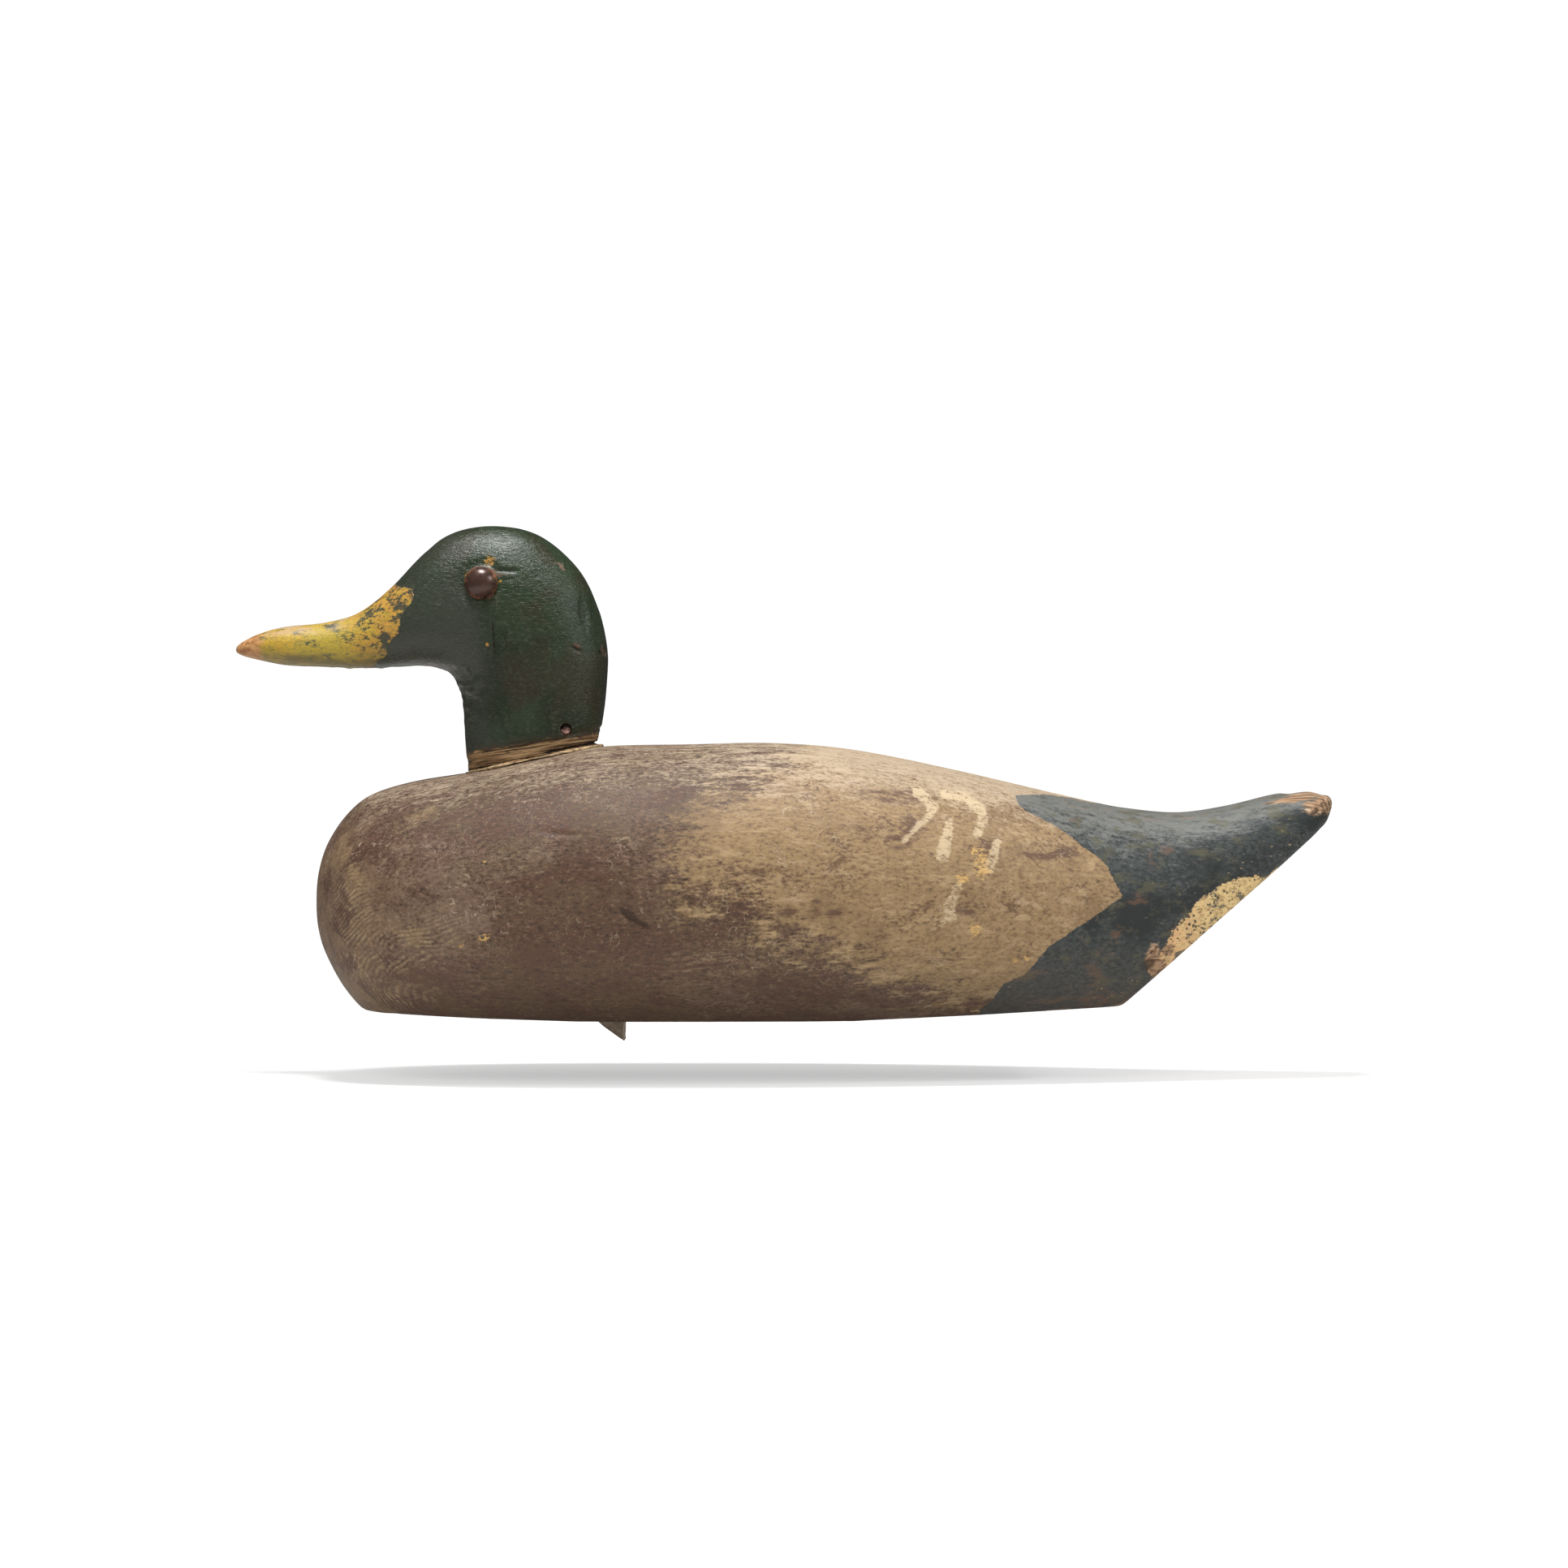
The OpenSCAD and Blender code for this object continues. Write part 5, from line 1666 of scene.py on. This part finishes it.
@dataclass
class NeckBead:
    """The ragged bead of filler round the foot of the neck, broken away in places."""

    foot: NeckFoot = field(default_factory=NeckFoot)
    around: int = 220
    across: int = 12
    thick: float = 0.62

    def build(self, finish: bpy.types.Material) -> bpy.types.Object:
        """Lays the bead along the edge of the seat."""
        bpy.ops.object.select_all(action="DESELECT")
        bpy.ops.mesh.primitive_torus_add(major_segments=self.around, minor_segments=self.across, major_radius=2,
                                         minor_radius=0.5)
        bead = fresh("neck_bead")
        unit = points_of(bead) * MM
        angle = np.arctan2(unit[:, 1], unit[:, 0])
        reach = np.hypot(unit[:, 0], unit[:, 1]) - 2
        turn = np.rint(angle / (2 * math.pi) * self.around).astype(int) % self.around
        ring = self.foot.outline(0.35, self.around)[turn]
        outward = self.foot.outline(1.35, self.around)[turn] - ring
        centre = np.column_stack([ring, self.foot.seat(ring[:, 0]) + 0.1])
        size = self.thick * (0.75 + 0.7 * ripple(centre, (9, 9, 50), 91) + 0.35 * ripple(centre, (2.5, 2.5, 50), 92))
        size = np.clip(size, 0.12, 1.25)
        side = reach / 0.5 * size
        lift = unit[:, 2] / 0.5 * size * 0.85
        points = centre + np.column_stack([outward * side[:, None], lift])
        points[:, 2] += 0.12 * layered(points, 1.6, 93)
        set_points(bead, points)
        in_edit_mode(bead)
        close_edit()
        bead.data.materials.append(finish)
        smooth_shaded(bead, 60)
        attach(bead, Body.DECOY.value)
        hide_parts("neck_filler")
        log.info("%s: %d faces", bead.name, len(bead.data.polygons))
        return bead


@dataclass
class LineTie:
    """One strap of leather, folded into a hanging loop whose two ends are tacked side by side in the slot."""

    thick: float = 1.3
    along: int = 150
    over: int = 14
    route: tuple[Point, ...] = (
        (28.6, 6.20), (20.0, 6.20), (12.0, 6.15), (6.0, 6.20), (2.4, 6.10), (0.2, 5.60), (-0.9, 4.40), (-1.3, 2.6),
        (-2.0, 0.6), (-3.4, -1.6), (-4.3, -3.6), (-4.1, -6.0), (-3.0, -7.9), (-1.3, -8.7), (0.4, -7.9), (1.4, -6.0),
        (1.5, -3.8), (1.0, -1.6), (0.3, 0.4), (0.2, 2.4), (0.8, 3.9), (2.8, 4.65), (6.0, 4.75), (12.0, 4.75),
        (20.0, 4.75), (28.4, 4.75),
    )
    short_front: float = 0.30
    cock: float = 14.0

    def folded(self, share: np.ndarray, across: np.ndarray, middle_x: float, width: float) -> np.ndarray:
        """Points of the strap's middle layer.

        Args:
            share: How far along the strap each point is, from 0 to 1.
            across: How far across it is, from 0 at the front to 1 at the rear.
            middle_x: The middle of the strap along X.
            width: The strap's width.

        Returns:
            Rows of x, y and z.
        """
        track = faired(self.route, 8)
        gaps = np.hypot(*np.diff(track, axis=0).T)
        gone = np.concatenate([[0], np.cumsum(gaps)]) / gaps.sum()
        y, z = (np.interp(share, gone, track[:, i]) for i in (0, 1))
        low = step(z, 4.0, 0.5)
        fall = self.short_front + (1 - self.short_front) * across**0.9
        z = np.where(z < 2.0, 2.0 + (z - 2.0) * (1 + (fall - 1) * low), z)
        x = (across - 0.5) * width * (1 - 0.06 * low)
        angle = math.radians(self.cock) * low
        return np.column_stack([middle_x + x * np.cos(angle) + 0.4 * low, y - x * np.sin(angle) * 1.0, z])

    def build(self, finish: bpy.types.Material) -> bpy.types.Object:
        """Cuts the strap, folds it and thickens it."""
        low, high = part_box("line_tie_tails")
        middle_x, width = (low.x + high.x) / 2 / MM, (high.x - low.x) / MM
        bpy.ops.object.select_all(action="DESELECT")
        bpy.ops.mesh.primitive_grid_add(x_subdivisions=self.along, y_subdivisions=self.over, size=2)
        strap = fresh("leather_line_tie")
        unit = points_of(strap) * MM
        share, across = (unit[:, 0] + 1) / 2, (unit[:, 1] + 1) / 2
        set_points(strap, self.folded(share, across, middle_x, width - 0.2))
        write_field(strap, "cut_edge", step(np.abs(unit[:, 1]), 0.80, 1.0))
        with_modifier(strap, "SOLIDIFY", thickness=self.thick * MM, offset=0, use_even_offset=False)
        with_modifier(strap, "BEVEL", width=0.18 * MM, segments=2, angle_limit=0.9)
        in_edit_mode(strap)
        close_edit()
        points = points_of(strap)
        set_points(strap, points + 0.10 * np.column_stack([ripple(points, 2.2, 95 + i) for i in range(3)]))
        strap.data.materials.append(finish)
        smooth_shaded(strap, 50)
        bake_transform(strap)
        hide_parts("line_tie_tails", "line_tie_loop")
        log.info("%s: %d faces", strap.name, len(strap.data.polygons))
        return strap


# ---- the decoy and its studio -----------------------------------------------------------


@dataclass
class Fastenings:
    """The nails and tacks that hold the decoy together."""

    def build(self, iron: bpy.types.Material, pink_iron: bpy.types.Material) -> None:
        """Drives the neck nails, the ballast nails and the tacks of the line tie."""
        for side in Side:
            nail = NeckNail(side)
            word = side.name.lower()
            Nail(f"toe_nail_{word}", 3.6, 0.9, 2.2, 26, seed=3 + side.value).driven(
                nail.place, nail.towards, pink_iron, f"neck_nail_{word}")
        for i, node in enumerate(("ballast_nail_front", "ballast_nail_rear")):
            self.upright(Nail(f"lead_nail_{i + 1}", 6.4, 1.2, 2.8, 30, seed=20 + i), node, iron)
        for i, node in enumerate(("line_tie_tack_inner", "line_tie_tack_outer")):
            self.upright(Nail(f"leather_tack_{i + 1}", 7.0, 0.9, 2.0, 14.9, seed=30 + i), node, iron)

    def upright(self, nail: Nail, node: str, finish: bpy.types.Material) -> None:
        """Drives a nail straight up where its node is."""
        low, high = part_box(node)
        middle = (low + high) / 2 / MM
        nail.driven((middle.x, middle.y, low.z / MM), (0, 0, 1), finish, node)


@dataclass
class Studio:
    """A pale floor, soft light and a camera square to the decoy's left side."""

    camera_x: float = 25.8
    camera_z: float = 88.8
    stand_off: float = 1800.0
    lens: float = 108.2
    floor_half: float = 900.0
    floor_gap: float = 14.0
    fade_from: float = 260.0
    floor_cover: float = 0.55

    def floor(self) -> None:
        """Lays the floor under the lowest point."""
        bpy.ops.object.select_all(action="DESELECT")
        bpy.ops.mesh.primitive_grid_add(x_subdivisions=8, y_subdivisions=8, size=2 * self.floor_half * MM)
        floor = fresh("floor")
        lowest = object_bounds()[0].z
        floor.data.transform(Matrix.Translation((self.camera_x * MM, 0, lowest - self.floor_gap * MM)))
        material = bpy.data.materials.new("pale_floor")
        material.use_nodes = True
        shader = material.node_tree.nodes["Principled BSDF"]
        n = Nodes(material.node_tree)
        seen = n.add("ShaderNodeLightPath").outputs["Is Camera Ray"]
        n.feed(shader.inputs["Base Color"], n.mix(seen, (0.62, 0.60, 0.57), (0.95, 0.95, 0.95)))
        shader.inputs["Roughness"].default_value = 0.9
        shader.inputs["Specular IOR Level"].default_value = 0.1
        away = n.add("ShaderNodeVectorMath", {0: n.place()}, operation="LENGTH").outputs["Value"]
        cover = n.ease(away, self.fade_from * MM, self.floor_half * MM, 1.0, 0.0)
        cover = n.math("MULTIPLY", cover, n.blend(seen, 1.0, self.floor_cover))
        through = n.add("ShaderNodeBsdfTransparent").outputs[0]
        both = n.add("ShaderNodeMixShader", {0: cover, 1: through, 2: shader.outputs[0]}).outputs[0]
        n.tree.links.new(both, material.node_tree.nodes["Material Output"].inputs["Surface"])
        floor.data.materials.append(material)
        floor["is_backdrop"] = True

    def camera(self) -> None:
        """Sets the camera level, looking along +Y."""
        data = bpy.data.cameras.new("camera")
        data.lens = self.lens
        data.sensor_width = 36
        data.clip_start, data.clip_end = 0.05, 50
        camera = bpy.data.objects.new("camera", data)
        camera.location = Vector((self.camera_x, -self.stand_off, self.camera_z)) * MM
        camera.rotation_euler = (math.pi / 2, 0, 0)
        bpy.context.scene.collection.objects.link(camera)
        bpy.context.scene.camera = camera

    def light(self, name: str, at: Point, aim: Point, size: Point, power: float, glints: bool = True) -> None:
        """Hangs one rectangular soft light.

        Args:
            name: The light's name.
            at: Its place, in millimetres.
            aim: The point that it faces.
            size: Its width and height, in millimetres.
            power: Its power, in watts.
            glints: Whether it shows in glossy surfaces.
        """
        data = bpy.data.lights.new(name, "AREA")
        data.shape = "RECTANGLE"
        data.size, data.size_y = size[0] * MM, size[1] * MM
        data.energy = power
        lamp = bpy.data.objects.new(name, data)
        lamp.location = Vector(at) * MM
        lamp.visible_glossy = glints
        lamp.rotation_euler = (Vector(aim) - Vector(at)).to_track_quat("-Z", "Y").to_euler()
        bpy.context.scene.collection.objects.link(lamp)

    def world(self) -> None:
        """A white surround that lights the decoy gently."""
        world = bpy.data.worlds.new("studio")
        bpy.context.scene.world = world
        world.use_nodes = True
        n = Nodes(world.node_tree)
        background = world.node_tree.nodes["Background"]
        background.inputs["Color"].default_value = (1, 1, 1, 1)
        path = n.add("ShaderNodeLightPath").outputs
        unseen = n.blend(path["Is Glossy Ray"], 0.50, 0.07)
        n.feed(background.inputs["Strength"], n.blend(path["Is Camera Ray"], unseen, 1.05))

    def build(self) -> None:
        """Sets up the studio."""
        self.floor()
        self.camera()
        self.world()
        self.light("fill", (-320, -1250, 780), (10, 0, 60), (900, 700), 9, glints=False)
        self.light("overhead", (-70, -190, 1150), (-20, 0, 100), (360, 170), 16)
        self.light("side", (1000, -420, 720), (-40, 0, 110), (160, 220), 5)
        scene = bpy.context.scene
        scene.view_settings.view_transform = "Standard"
        scene.view_settings.look = "None"
        scene.cycles.use_denoising = True


def dress_hidden(finish: bpy.types.Material, iron: bpy.types.Material) -> None:
    """Gives the frame's own inner pieces their finishes."""
    for name in ("neck_dowel", "eye_shank_left", "eye_shank_right"):
        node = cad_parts[name]
        node.data.materials.clear()
        node.data.materials.append(finish if name == "neck_dowel" else iron)
        log.info("%s: the frame's own solid", name)


def main() -> None:
    """Builds the decoy piece by piece, then the studio."""
    logging.basicConfig(level=logging.INFO, format="%(message)s")
    effects = Effects(growth_rings(), flecks(), hair_scratches(), paint_edge(), rust_bloom())
    stencil = Stencil()
    BodyCarving("body_carving", stencil, voxel=1.2).build(BodyPaint("body_paint", effects, 0.35).make())
    HeadCarving("head_carving", stencil, voxel=0.6).build(HeadPaint("head_paint", effects, 0.43).make())
    NeckBead().build(BareWood("old_filler", effects, light=(0.50, 0.36, 0.20), dark=(0.10, 0.06, 0.03)).make())
    japan = EyeJapan("eye_japan", effects, 0.5).make()
    for side in Side:
        EyeTack(side).build(japan)
    iron = OldIron("old_iron", effects).make()
    pink = OldIron("pink_iron", effects, metal=(0.20, 0.115, 0.095), rust=(0.36, 0.20, 0.165), shine=0.6).make()
    Fastenings().build(iron, pink)
    LeadSlab().build(DullLead("dull_lead", effects).make())
    LineTie().build(StrapLeather("strap_leather", effects).make())
    dress_hidden(BareWood("dowel_wood", effects, along=(1500, 1500, 120)).make(), iron)
    Studio().build()


if __name__ == "__main__":
    main()
